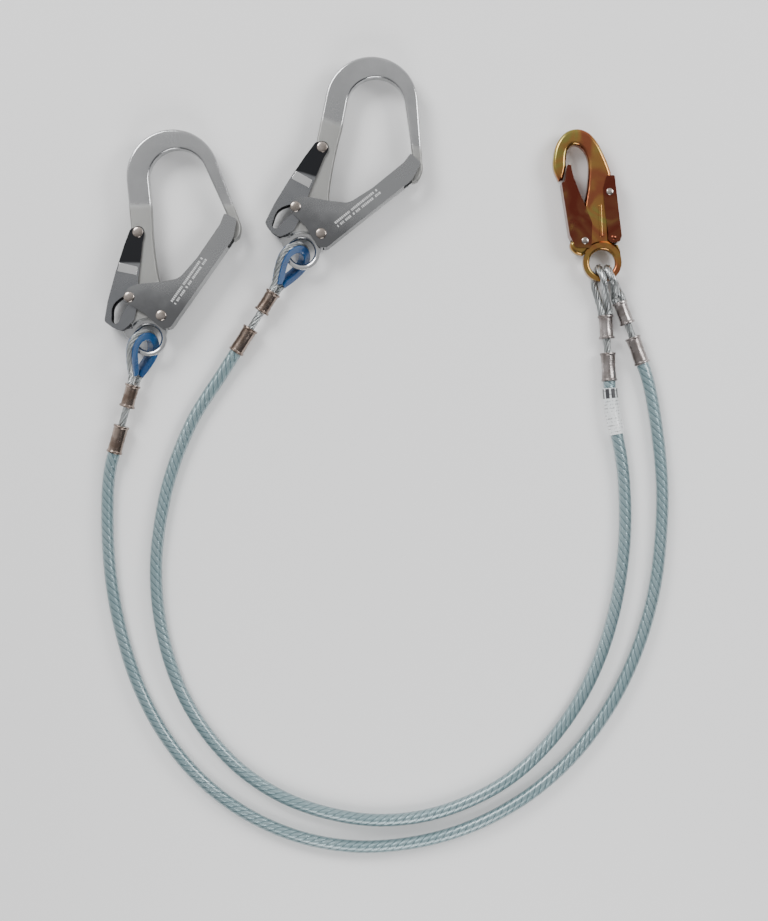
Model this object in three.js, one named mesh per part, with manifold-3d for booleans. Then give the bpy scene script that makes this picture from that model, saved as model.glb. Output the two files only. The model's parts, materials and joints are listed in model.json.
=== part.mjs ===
// Twin-leg wire-rope lanyard, laid flat: two large scaffold hooks, two vinyl-coated
// rope legs and one double-locking snap hook.
//
// Millimetres, +Z up from the surface it lies on, +Y towards the hooks, +X towards the
// snap hook. The origin is on the surface, under the middle of the metal parts.

import * as THREE from 'three';
import { mergeVertices } from 'three/addons/utils/BufferGeometryUtils.js';
import Module from 'manifold-3d';

const wasm = await Module();
wasm.setup();

// ---------------------------------------------------------------- driving dimensions

const GAP = 0.3;                    // air between neighbouring pieces

// Rope
const ROPE_DIAMETER = 6.35;         // bare galvanised wire rope, 1/4 in
const COAT_DIAMETER = 11.1;         // over the clear vinyl coat, 7/16 in

// Ferrules (crimped sleeves)
const EYE_FERRULE = { length: 20.5, wall: 2.5, rim: 1.0 };
const JACKET_FERRULE = { length: 25, wall: 2.9, rim: 0.7 };
const FERRULE_RIM_LENGTH = 2.6;
const HOOK_LINK = 17;               // bare rope between the two ferrules, hook end
const SNAP_LINK = 12.5;             // the same at the snap-hook end

// Thimble and the rope eye around it
const EYE_LENGTH = 50.5;            // ferrule face to the crown of the eye
const EYE_RADIUS = 14.8;            // rope centre line round the crown
const THIMBLE_WALL = 2.6;
const THIMBLE_SIDE = 0.9;           // flange beside the rope, on each side
const THIMBLE_FLANGE = 1.0;         // how far the flanges pass the rope's centre line
const THIMBLE_ROLL = 53;            // degrees that the eye is rolled about the rope

// Scaffold hook (hook frame: eye centre at the origin, spine along +Y)
const HOOK_HEIGHT = 14.9;           // mid plane above the surface
const HOOK_THICKNESS = 12;
const HOOK_BEVEL = 1.6;
const EYE_HOLE = 10.9;
const EYE_BAR = 4.9;
const EYE_THICKNESS = 5.8;
const EYE_CHAMFER = 1.5;
const ARCH_OUTER = { x: 21.5, y: 142, radius: 40.6 };
const ARCH_INNER = { x: 26.2, y: 139.6, radius: 25.6 };
const SPINE_LEAN = 4.2;             // degrees, outer edge of the spine
const ARM_LEAN = 19.7;              // degrees, outer edge of the nose arm
const GATE_PIVOT = { x: 12, y: 19.2 };
const LOCK_PIN = { x: -16, y: 35.3 };
const LEVER_PIVOT = { x: -8.6, y: 92.1 };
const GATE_TRAVEL = 38;             // degrees
const LEVER_RATIO = 0.16;           // lever turn for one degree of the gate
const SHEET = 1.8;                  // gate and lever sheet steel
const PIN_RADIUS = 3.0;
const HEAD_RADIUS = PIN_RADIUS + 1.6;
const HEAD_HEIGHT = 1.3;
const CROWN_BEARING = 92;           // degrees, where the rope eye's crown lies in the eye
const CROWN_CLEARANCE = 3.2;         // between the crown and the ring's bore

// Snap hook (snap frame: ring centre at the origin, shank along +Y)
const SNAP_HEIGHT = 11.2;
const SNAP_THICKNESS = 12;
const SNAP_BEVEL = 2.2;
const RING_HOLE = 11.3;
const RING_BAR = 5.7;
const RING_THICKNESS = 8;
const SNAP_GATE_PIVOT = { x: -15.7, y: 18.6 };
const SNAP_LEVER_PIVOT = { x: 6.0, y: 61.5 };
const SNAP_PIN_RADIUS = 2.0;
const SNAP_HEAD_RADIUS = SNAP_PIN_RADIUS + 1.1;
const SNAP_HEAD_HEIGHT = 1.1;
const RIB_HEIGHT = 0.8;

// Springs
const SPRING_WIRE = 1.0;
const SPRING_TURNS = 1.4;
const SPRING_SEAT_DEPTH = 2.9;       // counterbore that a pivot's spring lies in

// Label sleeve on the inner leg
const SLEEVE_START = 6;             // from the ferrule, along the rope
const SLEEVE_LENGTH = 42;
const SLEEVE_WALL = 0.5;
const SLEEVE_PLAY = 0.65;           // radial play over the coat

// ---------------------------------------------------------------- routes of the two legs

const OUTER_LEG = [
  [-233, -172.6, 7.75], [-235.5, -181.2, 7.08], [-237.7, -194, 6.15], [-239, -213, 5.7],
  [-238.4, -256, 5.7],
  [-233.8, -297.9, 5.7], [-224.7, -339.2, 5.7], [-211.2, -379.2, 5.7], [-191.9, -416.7, 5.7],
  [-166.5, -450.4, 5.7], [-135.1, -478.7, 5.7], [-98.7, -500.2, 5.7], [-58.9, -514.2, 5.7],
  [-17.1, -519.9, 5.7], [25.1, -517.3, 5.7], [66.3, -507.8, 5.7], [105.1, -491.3, 5.7],
  [140.7, -468.5, 5.7], [171.8, -440, 5.7], [197.8, -406.7, 5.7], [218.6, -369.9, 5.7],
  [234.1, -330.7, 5.7], [244.4, -289.8, 5.7], [249.5, -247.8, 5.7], [250.9, -205.5, 5.7],
  [247.6, -163.4, 5.7], [240.8, -120, 6.3], [236.2, -102.45, 7.15], [233.1, -94, 7.15],
];
const INNER_LEG = [
  [-125.8, -83.7, 7.75], [-130.65, -91.25, 7.08], [-139, -104.2, 6.15], [-152.4, -124.3, 5.7],
  [-163.8, -143.3, 5.7],
  [-180.1, -182, 5.7], [-188.9, -213.7, 5.7], [-196, -264.5, 5.7], [-194.6, -306.7, 5.7],
  [-186.5, -348.2, 5.7], [-171.6, -387.7, 5.7], [-148.9, -423.3, 5.7], [-119.6, -453.6, 5.7],
  [-83.9, -476.4, 5.7], [-44.2, -490.4, 5.7], [-2.4, -496.6, 5.7], [39.7, -493, 5.7],
  [79.9, -480.1, 5.7], [116.8, -459.5, 5.7], [148, -431.2, 5.7], [173.6, -397.5, 5.7],
  [193, -360, 5.7], [206.6, -319.9, 5.7], [214.6, -278.5, 5.7], [218.1, -236.4, 5.7],
  [217, -197, 5.7], [214.6, -177, 6.6], [210.2, -154, 7.05], [206.6, -136, 7.05],
  [204.55, -118.3, 7.15], [204, -109.3, 7.15],
];
const OUTER_HEADING = { hook: -106.2, snap: 110.2 };   // degrees, the ferrules' axes
const INNER_HEADING = { hook: -122.7, snap: 93.5 };

// ---------------------------------------------------------------- materials

const metal = (color, roughness) => new THREE.MeshStandardMaterial({ color, roughness, metalness: 1 });
const MATERIALS = {
  polished: metal(0xc9cdd0, 0.22),
  sheet: metal(0xa9adb2, 0.3),
  rivet: metal(0xb7a79a, 0.3),
  spring: metal(0x8d9094, 0.35),
  gold: metal(0xb98a3c, 0.35),
  goldSheet: metal(0x9c5f38, 0.38),
  ferrule: metal(0x9a8378, 0.35),
  wire: metal(0x9aa0a2, 0.4),
  thimble: new THREE.MeshStandardMaterial({ color: 0x0f5fa8, roughness: 0.35 }),
  coat: new THREE.MeshStandardMaterial({ color: 0x9fbfc4, roughness: 0.25 }),
  sleeve: new THREE.MeshStandardMaterial({ color: 0xe4e6e6, roughness: 0.3 }),
};

// ---------------------------------------------------------------- geometry helpers

const rad = THREE.MathUtils.degToRad;
const ropeRadius = ROPE_DIAMETER / 2;
const coatRadius = COAT_DIAMETER / 2;

// A closed mesh as a solid that can be joined and cut.
function solid(geometry) {
  const bare = geometry.clone();
  bare.deleteAttribute('normal');
  bare.deleteAttribute('uv');
  const merged = mergeVertices(bare, 1e-4);
  return new wasm.Manifold(new wasm.Mesh({
    numProp: 3,
    vertProperties: new Float32Array(merged.attributes.position.array),
    triVerts: new Uint32Array(merged.index.array),
  }));
}

// A solid as a three.js geometry again.
function surface(body) {
  const mesh = body.getMesh();
  const geometry = new THREE.BufferGeometry();
  geometry.setAttribute('position', new THREE.BufferAttribute(new Float32Array(mesh.vertProperties), 3));
  geometry.setIndex(new THREE.BufferAttribute(new Uint32Array(mesh.triVerts), 1));
  geometry.computeVertexNormals();
  return geometry;
}

// A flat outline thickened to both sides of z = 0.
function slab(shape, thickness, bevel = 0, curveSegments = 8) {
  const geometry = new THREE.ExtrudeGeometry(shape, {
    depth: thickness - 2 * bevel,
    bevelEnabled: bevel > 0,
    bevelThickness: bevel,
    bevelSize: bevel,
    bevelOffset: -bevel,
    bevelSegments: 1,
    curveSegments,
  });
  geometry.translate(0, 0, -thickness / 2 + bevel);
  return geometry;
}

// A polygon whose corners [x, y, radius] are rounded.
function rounded(corners) {
  const shape = new THREE.Shape();
  corners.forEach(([x, y, radius = 0], i) => {
    const here = new THREE.Vector2(x, y);
    const before = new THREE.Vector2(...corners.at(i - 1).slice(0, 2)).sub(here);
    const after = new THREE.Vector2(...corners[(i + 1) % corners.length].slice(0, 2)).sub(here);
    const half = Math.acos(before.dot(after) / before.length() / after.length()) / 2;
    const reach = Math.min(radius / Math.tan(half), 0.45 * before.length(), 0.45 * after.length());
    const start = before.setLength(reach).add(here);
    const end = after.setLength(reach).add(here);
    if (i === 0) shape.moveTo(start.x, start.y);
    else shape.lineTo(start.x, start.y);
    if (reach > 0) shape.quadraticCurveTo(x, y, end.x, end.y);
  });
  return shape;
}

function disc(x, y, radius) {
  const shape = new THREE.Shape();
  shape.absarc(x, y, radius, 0, 2 * Math.PI, false);
  return shape;
}

// A round bar or hole along Z at a point of the plan.
function pillar({ x, y }, radius, low, high, sides = 14) {
  const geometry = new THREE.CylinderGeometry(radius, radius, high - low, sides);
  geometry.rotateX(Math.PI / 2);
  geometry.translate(x, y, (low + high) / 2);
  return geometry;
}

function roundSection(radius, sides) {
  const corners = [];
  for (let i = 0; i < sides; i += 1) {
    const turn = (2 * Math.PI * i) / sides;
    corners.push(new THREE.Vector2(radius * Math.cos(turn), radius * Math.sin(turn)));
  }
  return corners;
}

// A round bar that follows a curve.
function tube(curve, radius, steps, sides = 10) {
  const section = new THREE.Shape(roundSection(radius, sides));
  return new THREE.ExtrudeGeometry(section, { steps, bevelEnabled: false, extrudePath: curve });
}

// The band of a given half width around a run of plan points, with round ends.
function slotShape(points, halfWidth) {
  const path = new THREE.SplineCurve(points.map(([x, y]) => new THREE.Vector2(x, y)));
  const steps = 5;
  const left = [];
  const right = [];
  for (let i = 0; i <= steps; i += 1) {
    const at = path.getPoint(i / steps);
    const along = path.getTangent(i / steps);
    const side = new THREE.Vector2(-along.y, along.x).multiplyScalar(halfWidth);
    left.push(at.clone().add(side));
    right.push(at.clone().sub(side));
  }
  return new THREE.Shape([...left, ...right.reverse()]);
}

// A slot cut through everything, round at both ends.
function slotCutter(points, halfWidth, depth) {
  const ends = [points[0], points.at(-1)];
  let cutter = solid(slab(slotShape(points, halfWidth), depth));
  for (const [x, y] of ends) cutter = cutter.add(solid(slab(disc(x, y, halfWidth), depth, 0, 5)));
  return cutter;
}

// The bore of a ring centred on the origin, chamfered at both faces.
function ringBore(radius, thickness, chamfer) {
  const half = thickness / 2;
  const top = half + 20;
  const wide = radius + chamfer;
  const profile = [[0, -top], [wide, -top], [wide, -half], [radius, chamfer - half], [radius, half - chamfer],
    [wide, half], [wide, top], [0, top]];
  const geometry = new THREE.LatheGeometry(profile.map(([r, z]) => new THREE.Vector2(r, z)), 28);
  geometry.rotateX(Math.PI / 2);
  return geometry;
}

// A rivet or pin with two domed heads, along Z at a point of the plan.
function rivet({ x, y }, radius, grip, headRadius, headHeight) {
  const half = grip / 2;
  const dome = [];
  for (let i = 0; i <= 2; i += 1) {
    const turn = (Math.PI / 2) * (i / 2);
    dome.push(new THREE.Vector2(headRadius * Math.cos(turn), half + headHeight * Math.sin(turn)));
  }
  const lower = dome.map((point) => new THREE.Vector2(point.x, -point.y)).reverse();
  const profile = [...lower, new THREE.Vector2(radius, -half), new THREE.Vector2(radius, half), ...dome];
  profile[0].x = 0;
  profile.at(-1).x = 0;
  const geometry = new THREE.LatheGeometry(profile, 12);
  geometry.rotateX(Math.PI / 2);
  geometry.translate(x, y, 0);
  return geometry;
}

class Helix extends THREE.Curve {
  constructor(radius, pitch, turns) {
    super();
    Object.assign(this, { radius, pitch, turns });
  }

  getPoint(t, target = new THREE.Vector3()) {
    const turn = 2 * Math.PI * this.turns * t;
    return target.set(this.radius * Math.cos(turn), this.radius * Math.sin(turn), this.pitch * this.turns * t);
  }
}

// A torsion spring round a pivot, its lowest coil resting at z = low.
function coilSpring({ x, y }, meanRadius, low) {
  const pitch = SPRING_WIRE + 0.15;
  const geometry = tube(new Helix(meanRadius, pitch, SPRING_TURNS), SPRING_WIRE / 2, 15, 5);
  geometry.translate(x, y, low + SPRING_WIRE / 2);
  return geometry;
}

function piece(name, geometry, material) {
  const mesh = new THREE.Mesh(geometry, material);
  mesh.name = name;
  return mesh;
}

// ---------------------------------------------------------------- scaffold hook

// Layers on each side of the hook's mid plane.
const leverInside = HOOK_THICKNESS / 2 + GAP;
const leverOutside = leverInside + SHEET;
const gateInside = leverOutside + GAP;
const gateOutside = gateInside + SHEET;
const eyeRing = EYE_HOLE + EYE_BAR;
const THROUGH = 4 * gateOutside;

// Where the lock pin runs round the gate's pivot.
const pinArm = Math.hypot(LOCK_PIN.x - GATE_PIVOT.x, LOCK_PIN.y - GATE_PIVOT.y);
const pinBearing = Math.atan2(LOCK_PIN.y - GATE_PIVOT.y, LOCK_PIN.x - GATE_PIVOT.x);

// The lock pin's place, seen from the lever, when the gate has turned by so many degrees.
function pinSeenFromLever(gateTurn) {
  const turn = pinBearing + rad(gateTurn);
  const offset = new THREE.Vector2(
    GATE_PIVOT.x + pinArm * Math.cos(turn) - LEVER_PIVOT.x,
    GATE_PIVOT.y + pinArm * Math.sin(turn) - LEVER_PIVOT.y,
  );
  offset.rotateAround(new THREE.Vector2(), -rad(gateTurn * LEVER_RATIO));
  return [offset.x + LEVER_PIVOT.x, offset.y + LEVER_PIVOT.y];
}

const NOSE = [[68.5, 108.5], [73.0, 97.0], [75.2, 84.6], [79.6, 88.0], [81.2, 97.5], [79.3, 103.8]];
const SPINE_FOOT = { x: -17.8, y: 50 };
const THROAT_FOOT = [[20.5, 27.0], [14.5, 42.0], [10.2, 48.3], [4.6, 82.8], [2.8, 117.4]];
const TAIL_HORN = [[-20.6, 7.6], [-21.1, 4.6], [-19.0, 1.4]];

function hookOutline() {
  const shape = new THREE.Shape();
  const notch = pinArm - PIN_RADIUS - 1.8;
  NOSE.forEach(([x, y], i) => (i === 0 ? shape.moveTo(x, y) : shape.lineTo(x, y)));
  shape.absarc(ARCH_OUTER.x, ARCH_OUTER.y, ARCH_OUTER.radius, rad(ARM_LEAN), Math.PI + rad(SPINE_LEAN), false);
  shape.lineTo(-15.1, 96.4);
  shape.lineTo(SPINE_FOOT.x, SPINE_FOOT.y);
  shape.absarc(GATE_PIVOT.x, GATE_PIVOT.y, notch, rad(140), rad(203), false);
  TAIL_HORN.forEach(([x, y]) => shape.lineTo(x, y));
  shape.absarc(0, 0, eyeRing, rad(188), rad(370), false);
  shape.absarc(GATE_PIVOT.x, GATE_PIVOT.y, 10, rad(-60), rad(25), false);
  THROAT_FOOT.forEach(([x, y]) => shape.lineTo(x, y));
  shape.absarc(ARCH_INNER.x, ARCH_INNER.y, ARCH_INNER.radius, rad(182), rad(22.9), true);
  return shape;
}

const HORN_THINNING = { x: -17, y: 2, radius: 9 };
const springSeat = PIN_RADIUS + 2.6;
const springCoil = springSeat - GAP - SPRING_WIRE / 2;

function hookBody() {
  const half = HOOK_THICKNESS / 2;
  let body = solid(slab(hookOutline(), HOOK_THICKNESS, HOOK_BEVEL, 9));
  for (const side of [-1, 1]) {
    const low = side < 0 ? -THROUGH : EYE_THICKNESS / 2;
    const high = side < 0 ? -EYE_THICKNESS / 2 : THROUGH;
    body = body.subtract(solid(pillar({ x: 0, y: 0 }, eyeRing + 0.6, low, high, 28)));
    body = body.subtract(solid(pillar(HORN_THINNING, HORN_THINNING.radius, low, high, 20)));
  }
  body = body.subtract(solid(ringBore(EYE_HOLE, EYE_THICKNESS, EYE_CHAMFER)));
  for (const pivot of [GATE_PIVOT, LEVER_PIVOT]) {
    body = body.subtract(solid(pillar(pivot, PIN_RADIUS + GAP, -THROUGH, THROUGH)));
    body = body.subtract(solid(pillar(pivot, springSeat, half - SPRING_SEAT_DEPTH, THROUGH)));
  }
  return surface(body);
}

// Gate: a folded channel, two side plates and a web along its lower edge.
const GATE_OUTLINE = [
  [67.0, 108.5, 1.5], [78.1, 103.2, 3], [75.0, 87.2, 8], [20.1, 8.8, 4], [13.0, 7.4, 5], [4.0, 14.9, 10],
  [-3.4, 21.7, 8], [-15.8, 28.5, 10], [-21.6, 34.4, 8], [-17.0, 43.6, 8], [-8.3, 46.8, 10], [8.9, 48.3, 20],
  [27.5, 51.6, 14], [43.5, 69.9, 30], [63.3, 98.9, 10],
];
const WEB_FOOT = { x: 20.1, y: 8.8 };
const WEB_HEAD = { x: 69.5, y: 79.4 };

function gateChannel() {
  const along = new THREE.Vector2(WEB_HEAD.x - WEB_FOOT.x, WEB_HEAD.y - WEB_FOOT.y).normalize();
  const inward = new THREE.Vector2(-along.y, along.x).multiplyScalar(SHEET);
  const foot = new THREE.Vector2(WEB_FOOT.x, WEB_FOOT.y).add(inward).addScaledVector(along, -40);
  const head = new THREE.Vector2(WEB_HEAD.x, WEB_HEAD.y).add(inward);
  const past = head.clone().addScaledVector(inward, -6);
  const hollow = new THREE.Shape([foot, head, past, new THREE.Vector2(160, 60), new THREE.Vector2(160, 200),
    new THREE.Vector2(-90, 200), new THREE.Vector2(-90, -60)]);
  let gate = solid(slab(rounded(GATE_OUTLINE), 2 * gateOutside, 0, 2));
  gate = gate.subtract(solid(slab(hollow, 2 * gateInside)));
  for (const pin of [GATE_PIVOT, LOCK_PIN]) {
    gate = gate.subtract(solid(pillar(pin, PIN_RADIUS + GAP, -THROUGH, THROUGH)));
  }
  return surface(gate);
}

// Lock lever: a folded channel behind the spine, slotted for the lock pin.
const LEVER_BACK = [[-20.7, 80.4], [-25.4, 65.6], [-28.1, 57.5], [-34.9, 32.2], [-38.0, 14.3]];
const LEVER_FRONT = [
  [-30.6, 8.8, 4], [-21.9, 6.3, 5], [-12.0, 14.9, 6], [-9.6, 26.0, 10], [-8.1, 52.0, 10], [-4.6, 84.1, 10],
  [-2.6, 91.5, 5], [-8.3, 97.9, 6], [-15.4, 94.6, 4],
];

function leverChannel() {
  const outline = [...LEVER_BACK.map(([x, y]) => [x, y, 4]), ...LEVER_FRONT];
  const inner = LEVER_BACK.map(([x, y]) => new THREE.Vector2(x + SHEET * 1.05, y));
  const hollow = new THREE.Shape([new THREE.Vector2(inner[0].x, 150), ...inner,
    new THREE.Vector2(inner.at(-1).x, -40), new THREE.Vector2(80, -40), new THREE.Vector2(80, 150)]);
  let lever = solid(slab(rounded(outline), 2 * leverOutside, 0, 2));
  lever = lever.subtract(solid(slab(hollow, 2 * leverInside)));
  const released = [];
  for (let turn = -1; turn <= GATE_TRAVEL + 1; turn += (GATE_TRAVEL + 2) / 5) released.push(pinSeenFromLever(turn));
  const locked = [released[0], [-27.0, 27.0], released.at(-1)];
  for (const run of [released, locked]) {
    lever = lever.subtract(slotCutter(run, PIN_RADIUS + GAP + 0.2, THROUGH));
  }
  lever = lever.subtract(solid(pillar(LEVER_PIVOT, PIN_RADIUS + GAP, -THROUGH, THROUGH)));
  return surface(lever);
}

// A whole scaffold hook; its pieces' names start with the given word.
function scaffoldHook(prefix) {
  const hook = new THREE.Group();
  const gateGrip = 2 * (gateOutside + GAP);
  const leverGrip = 2 * (leverOutside + GAP);
  const springFloor = HOOK_THICKNESS / 2 - SPRING_SEAT_DEPTH + 0.2;
  hook.add(
    piece(`${prefix}_hook_body`, hookBody(), MATERIALS.polished),
    piece(`${prefix}_hook_gate`, gateChannel(), MATERIALS.sheet),
    piece(`${prefix}_hook_lock_lever`, leverChannel(), MATERIALS.sheet),
    piece(`${prefix}_hook_gate_pivot`,
      rivet(GATE_PIVOT, PIN_RADIUS, gateGrip, HEAD_RADIUS, HEAD_HEIGHT), MATERIALS.rivet),
    piece(`${prefix}_hook_lock_pin`,
      rivet(LOCK_PIN, PIN_RADIUS, gateGrip, HEAD_RADIUS, HEAD_HEIGHT), MATERIALS.rivet),
    piece(`${prefix}_hook_lever_pivot`,
      rivet(LEVER_PIVOT, PIN_RADIUS, leverGrip, HEAD_RADIUS, HEAD_HEIGHT * 0.8), MATERIALS.rivet),
    piece(`${prefix}_hook_gate_spring`,
      coilSpring(GATE_PIVOT, springCoil, springFloor), MATERIALS.spring),
    piece(`${prefix}_hook_lever_spring`,
      coilSpring(LEVER_PIVOT, springCoil, springFloor), MATERIALS.spring),
  );
  return hook;
}

// ---------------------------------------------------------------- ferrules and bare rope

const linkBore = ropeRadius + GAP;

// A crimped sleeve along +X from x = 0, with two flared rims; its far end is bored for the rope.
function ferrule(size, boreDepth) {
  const { length } = size;
  const radius = linkBore + size.wall;
  const rim = radius + size.rim;
  const flare = FERRULE_RIM_LENGTH;
  const profile = [
    [0, 0], [0, rim], [flare * 0.5, rim], [flare, radius], [length - flare, radius], [length - flare * 0.5, rim],
    [length, rim], [length, linkBore], [length - boreDepth, linkBore], [length - boreDepth, 0],
  ];
  const geometry = new THREE.LatheGeometry(profile.map(([x, r]) => new THREE.Vector2(r, x)), 12);
  geometry.rotateZ(-Math.PI / 2);
  return geometry;
}

// Both ferrules and the bare rope between them, from the end of the coated leg (x = 0) towards -X.
function ferrulePair(prefix, link) {
  const group = new THREE.Group();
  const eyeBoreDepth = EYE_FERRULE.length * 0.55;
  const jacketBoreDepth = JACKET_FERRULE.length * 0.55;
  const jacketStart = -GAP - JACKET_FERRULE.length;
  const eyeStart = jacketStart - link - EYE_FERRULE.length;
  const jacket = ferrule(JACKET_FERRULE, jacketBoreDepth);
  jacket.rotateZ(Math.PI);
  jacket.translate(-GAP, 0, 0);
  const eye = ferrule(EYE_FERRULE, eyeBoreDepth);
  eye.translate(eyeStart, 0, 0);
  const ropeStart = eyeStart + EYE_FERRULE.length - eyeBoreDepth + GAP;
  const ropeEnd = jacketStart + jacketBoreDepth - GAP;
  const rope = tube(new THREE.LineCurve3(new THREE.Vector3(ropeStart, 0, 0), new THREE.Vector3(ropeEnd, 0, 0)),
    ropeRadius, 2, 10);
  group.add(
    piece(`${prefix}_jacket_ferrule`, jacket, MATERIALS.ferrule),
    piece(`${prefix}_rope_link`, rope, MATERIALS.wire),
    piece(`${prefix}_eye_ferrule`, eye, MATERIALS.ferrule),
  );
  return { group, face: eyeStart };
}

// ---------------------------------------------------------------- hook end of a leg

const limbOffset = ropeRadius + GAP / 2;
const thimbleWidth = ROPE_DIAMETER + 2 * (GAP + THIMBLE_SIDE);

// Rope centre line round the thimble, in the eye's own plane; the ferrule's face is at x = 0
// and the crown towards -X.
function thimbleRopeCurve() {
  const centre = -(EYE_LENGTH - ropeRadius - EYE_RADIUS);
  const limb = [[-GAP - 0.2, 1], [-4, 1.02], [centre * 0.28, 1.45], [centre * 0.48, 2.6], [centre * 0.7, 3.65]];
  const points = limb.map(([x, share]) => new THREE.Vector3(x, share * limbOffset, 0));
  const arc = [];
  for (let turn = 70; turn <= 290; turn += 22) {
    arc.push(new THREE.Vector3(centre + EYE_RADIUS * Math.cos(rad(turn)), EYE_RADIUS * Math.sin(rad(turn)), 0));
  }
  const back = points.map((point) => new THREE.Vector3(point.x, -point.y, 0)).reverse();
  return new THREE.CatmullRomCurve3([...points, ...arc, ...back], false, 'centripetal');
}

function thimble() {
  const centre = -(EYE_LENGTH - ropeRadius - EYE_RADIUS);
  const outer = new THREE.Shape();
  outer.moveTo(centre * 0.24, -2.4);
  outer.lineTo(centre * 0.24, 2.4);
  outer.absarc(centre, 0, EYE_RADIUS + THIMBLE_FLANGE, rad(58), rad(302), false);
  const hole = new THREE.Shape();
  const holeRadius = EYE_RADIUS - ropeRadius - GAP - THIMBLE_WALL;
  hole.moveTo(centre * 0.5, 0.8);
  hole.absarc(centre, 0, holeRadius, rad(55), rad(305), false);
  hole.lineTo(centre * 0.5, -0.8);
  let body = solid(slab(outer, thimbleWidth, 0.8, 11));
  body = body.subtract(solid(slab(hole, 3 * thimbleWidth, 0, 11)));
  body = body.subtract(solid(tube(thimbleRopeCurve(), ropeRadius + GAP, 26, 8)));
  const parts = body.decompose().sort((a, b) => b.volume() - a.volume());
  return surface(parts[0]);
}

// Everything between the coated leg's end and the scaffold hook, its axis sloping up to the hook.
function hookEnd(prefix) {
  const { group, face } = ferrulePair(`${prefix}_hook`, HOOK_LINK);
  const eye = new THREE.Group();
  eye.position.x = face;
  eye.add(
    piece(`${prefix}_hook_rope_eye`, tube(thimbleRopeCurve(), ropeRadius, 26, 8), MATERIALS.wire),
    piece(`${prefix}_thimble`, thimble(), MATERIALS.thimble),
  );
  group.add(eye);
  return { group, crown: face - EYE_LENGTH, centre: face - EYE_LENGTH + ropeRadius + EYE_RADIUS };
}

// Places a leg's hook end and the hook it carries.
function hookSide(prefix, legStart, heading) {
  const end = hookEnd(prefix);
  const rise = Math.asin((HOOK_HEIGHT - legStart.z) / -end.centre);
  const along = new THREE.Vector3(Math.cos(rad(heading)) * Math.cos(rise),
    Math.sin(rad(heading)) * Math.cos(rise), -Math.sin(rise));
  const level = new THREE.Vector3(-Math.sin(rad(heading)), Math.cos(rad(heading)), 0);
  const up = new THREE.Vector3().crossVectors(along, level);
  const roll = rad(THIMBLE_ROLL);
  const across = level.clone().multiplyScalar(Math.cos(roll)).addScaledVector(up, -Math.sin(roll));
  const normal = new THREE.Vector3().crossVectors(along, across);
  end.group.quaternion.setFromRotationMatrix(new THREE.Matrix4().makeBasis(along, across, normal));
  end.group.position.copy(legStart);

  const hook = scaffoldHook(prefix);
  const turn = rad(heading - OUTER_HEADING.hook);
  const bearing = rad(CROWN_BEARING) + turn;
  const crown = legStart.clone().addScaledVector(along, end.crown);
  const reach = EYE_HOLE - CROWN_CLEARANCE;
  hook.position.set(crown.x - reach * Math.cos(bearing), crown.y - reach * Math.sin(bearing), HOOK_HEIGHT);
  hook.rotation.z = turn;
  return [end.group, hook];
}

// ---------------------------------------------------------------- snap hook

const snapPlateInside = SNAP_THICKNESS / 2 + GAP;
const snapPlateOutside = snapPlateInside + SHEET;
const ringOutside = RING_HOLE + RING_BAR;

function snapOutline() {
  const shape = new THREE.Shape();
  shape.moveTo(-34.6, 72.6);
  shape.lineTo(-38.6, 71.1);
  shape.splineThru([[-43.2, 82.5], [-42.6, 95.5], [-39.0, 106.4], [-31.6, 114.6], [-21.9, 117.2],
    [-12.6, 114.2], [-4.4, 105.4], [3.8, 88.7], [7.4, 79.0]].map(([x, y]) => new THREE.Vector2(x, y)));
  [[7.9, 73.0], [9.4, 64.5], [9.4, 58.5], [7.4, 50.0], [6.2, 30.0], [7.0, 17.2], [13.6, 15.4], [15.6, 11.0]]
    .forEach(([x, y]) => shape.lineTo(x, y));
  shape.absarc(0, 0, ringOutside, rad(6), rad(-208), true);
  [[-18.1, 5.7], [-23.8, 7.6], [-28.1, 12.3], [-28.3, 17.0], [-25.6, 19.4], [-20.8, 28.0], [-18.5, 40.0],
    [-15.7, 51.0]].forEach(([x, y]) => shape.lineTo(x, y));
  shape.splineThru([[-13.4, 64.9], [-12.3, 79.0], [-12.6, 88.6], [-15.8, 97.4], [-21.4, 102.4], [-26.4, 102.8],
    [-30.3, 98.9], [-31.9, 91.0], [-31.9, 84.0]].map(([x, y]) => new THREE.Vector2(x, y)));
  return shape;
}

const SNAP_RIB = [[-3.9, 50.0, 1], [-0.8, 51.0, 1], [0.1, 22.4, 1], [-2.9, 21.9, 1]];
const snapSpringSeat = SNAP_PIN_RADIUS + 1.9;
const snapSpringCoil = snapSpringSeat - GAP - SPRING_WIRE / 2;

function snapBody() {
  const half = SNAP_THICKNESS / 2;
  const centre = { x: 0, y: 0 };
  let body = solid(slab(snapOutline(), SNAP_THICKNESS, SNAP_BEVEL, 3));
  for (const [low, high] of [[-THROUGH, -RING_THICKNESS / 2], [RING_THICKNESS / 2, THROUGH]]) {
    body = body.subtract(solid(pillar(centre, ringOutside + 0.6, low, high, 28)));
  }
  body = body.subtract(solid(ringBore(RING_HOLE, RING_THICKNESS, EYE_CHAMFER)));
  body = body.add(solid(slab(rounded(SNAP_RIB), SNAP_THICKNESS + 2 * RIB_HEIGHT, 0.4, 3)));
  for (const pivot of [SNAP_GATE_PIVOT, SNAP_LEVER_PIVOT]) {
    body = body.subtract(solid(pillar(pivot, SNAP_PIN_RADIUS + GAP, -THROUGH, THROUGH)));
    body = body.subtract(solid(pillar(pivot, snapSpringSeat, half - SPRING_SEAT_DEPTH, THROUGH)));
  }
  return surface(body);
}

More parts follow.
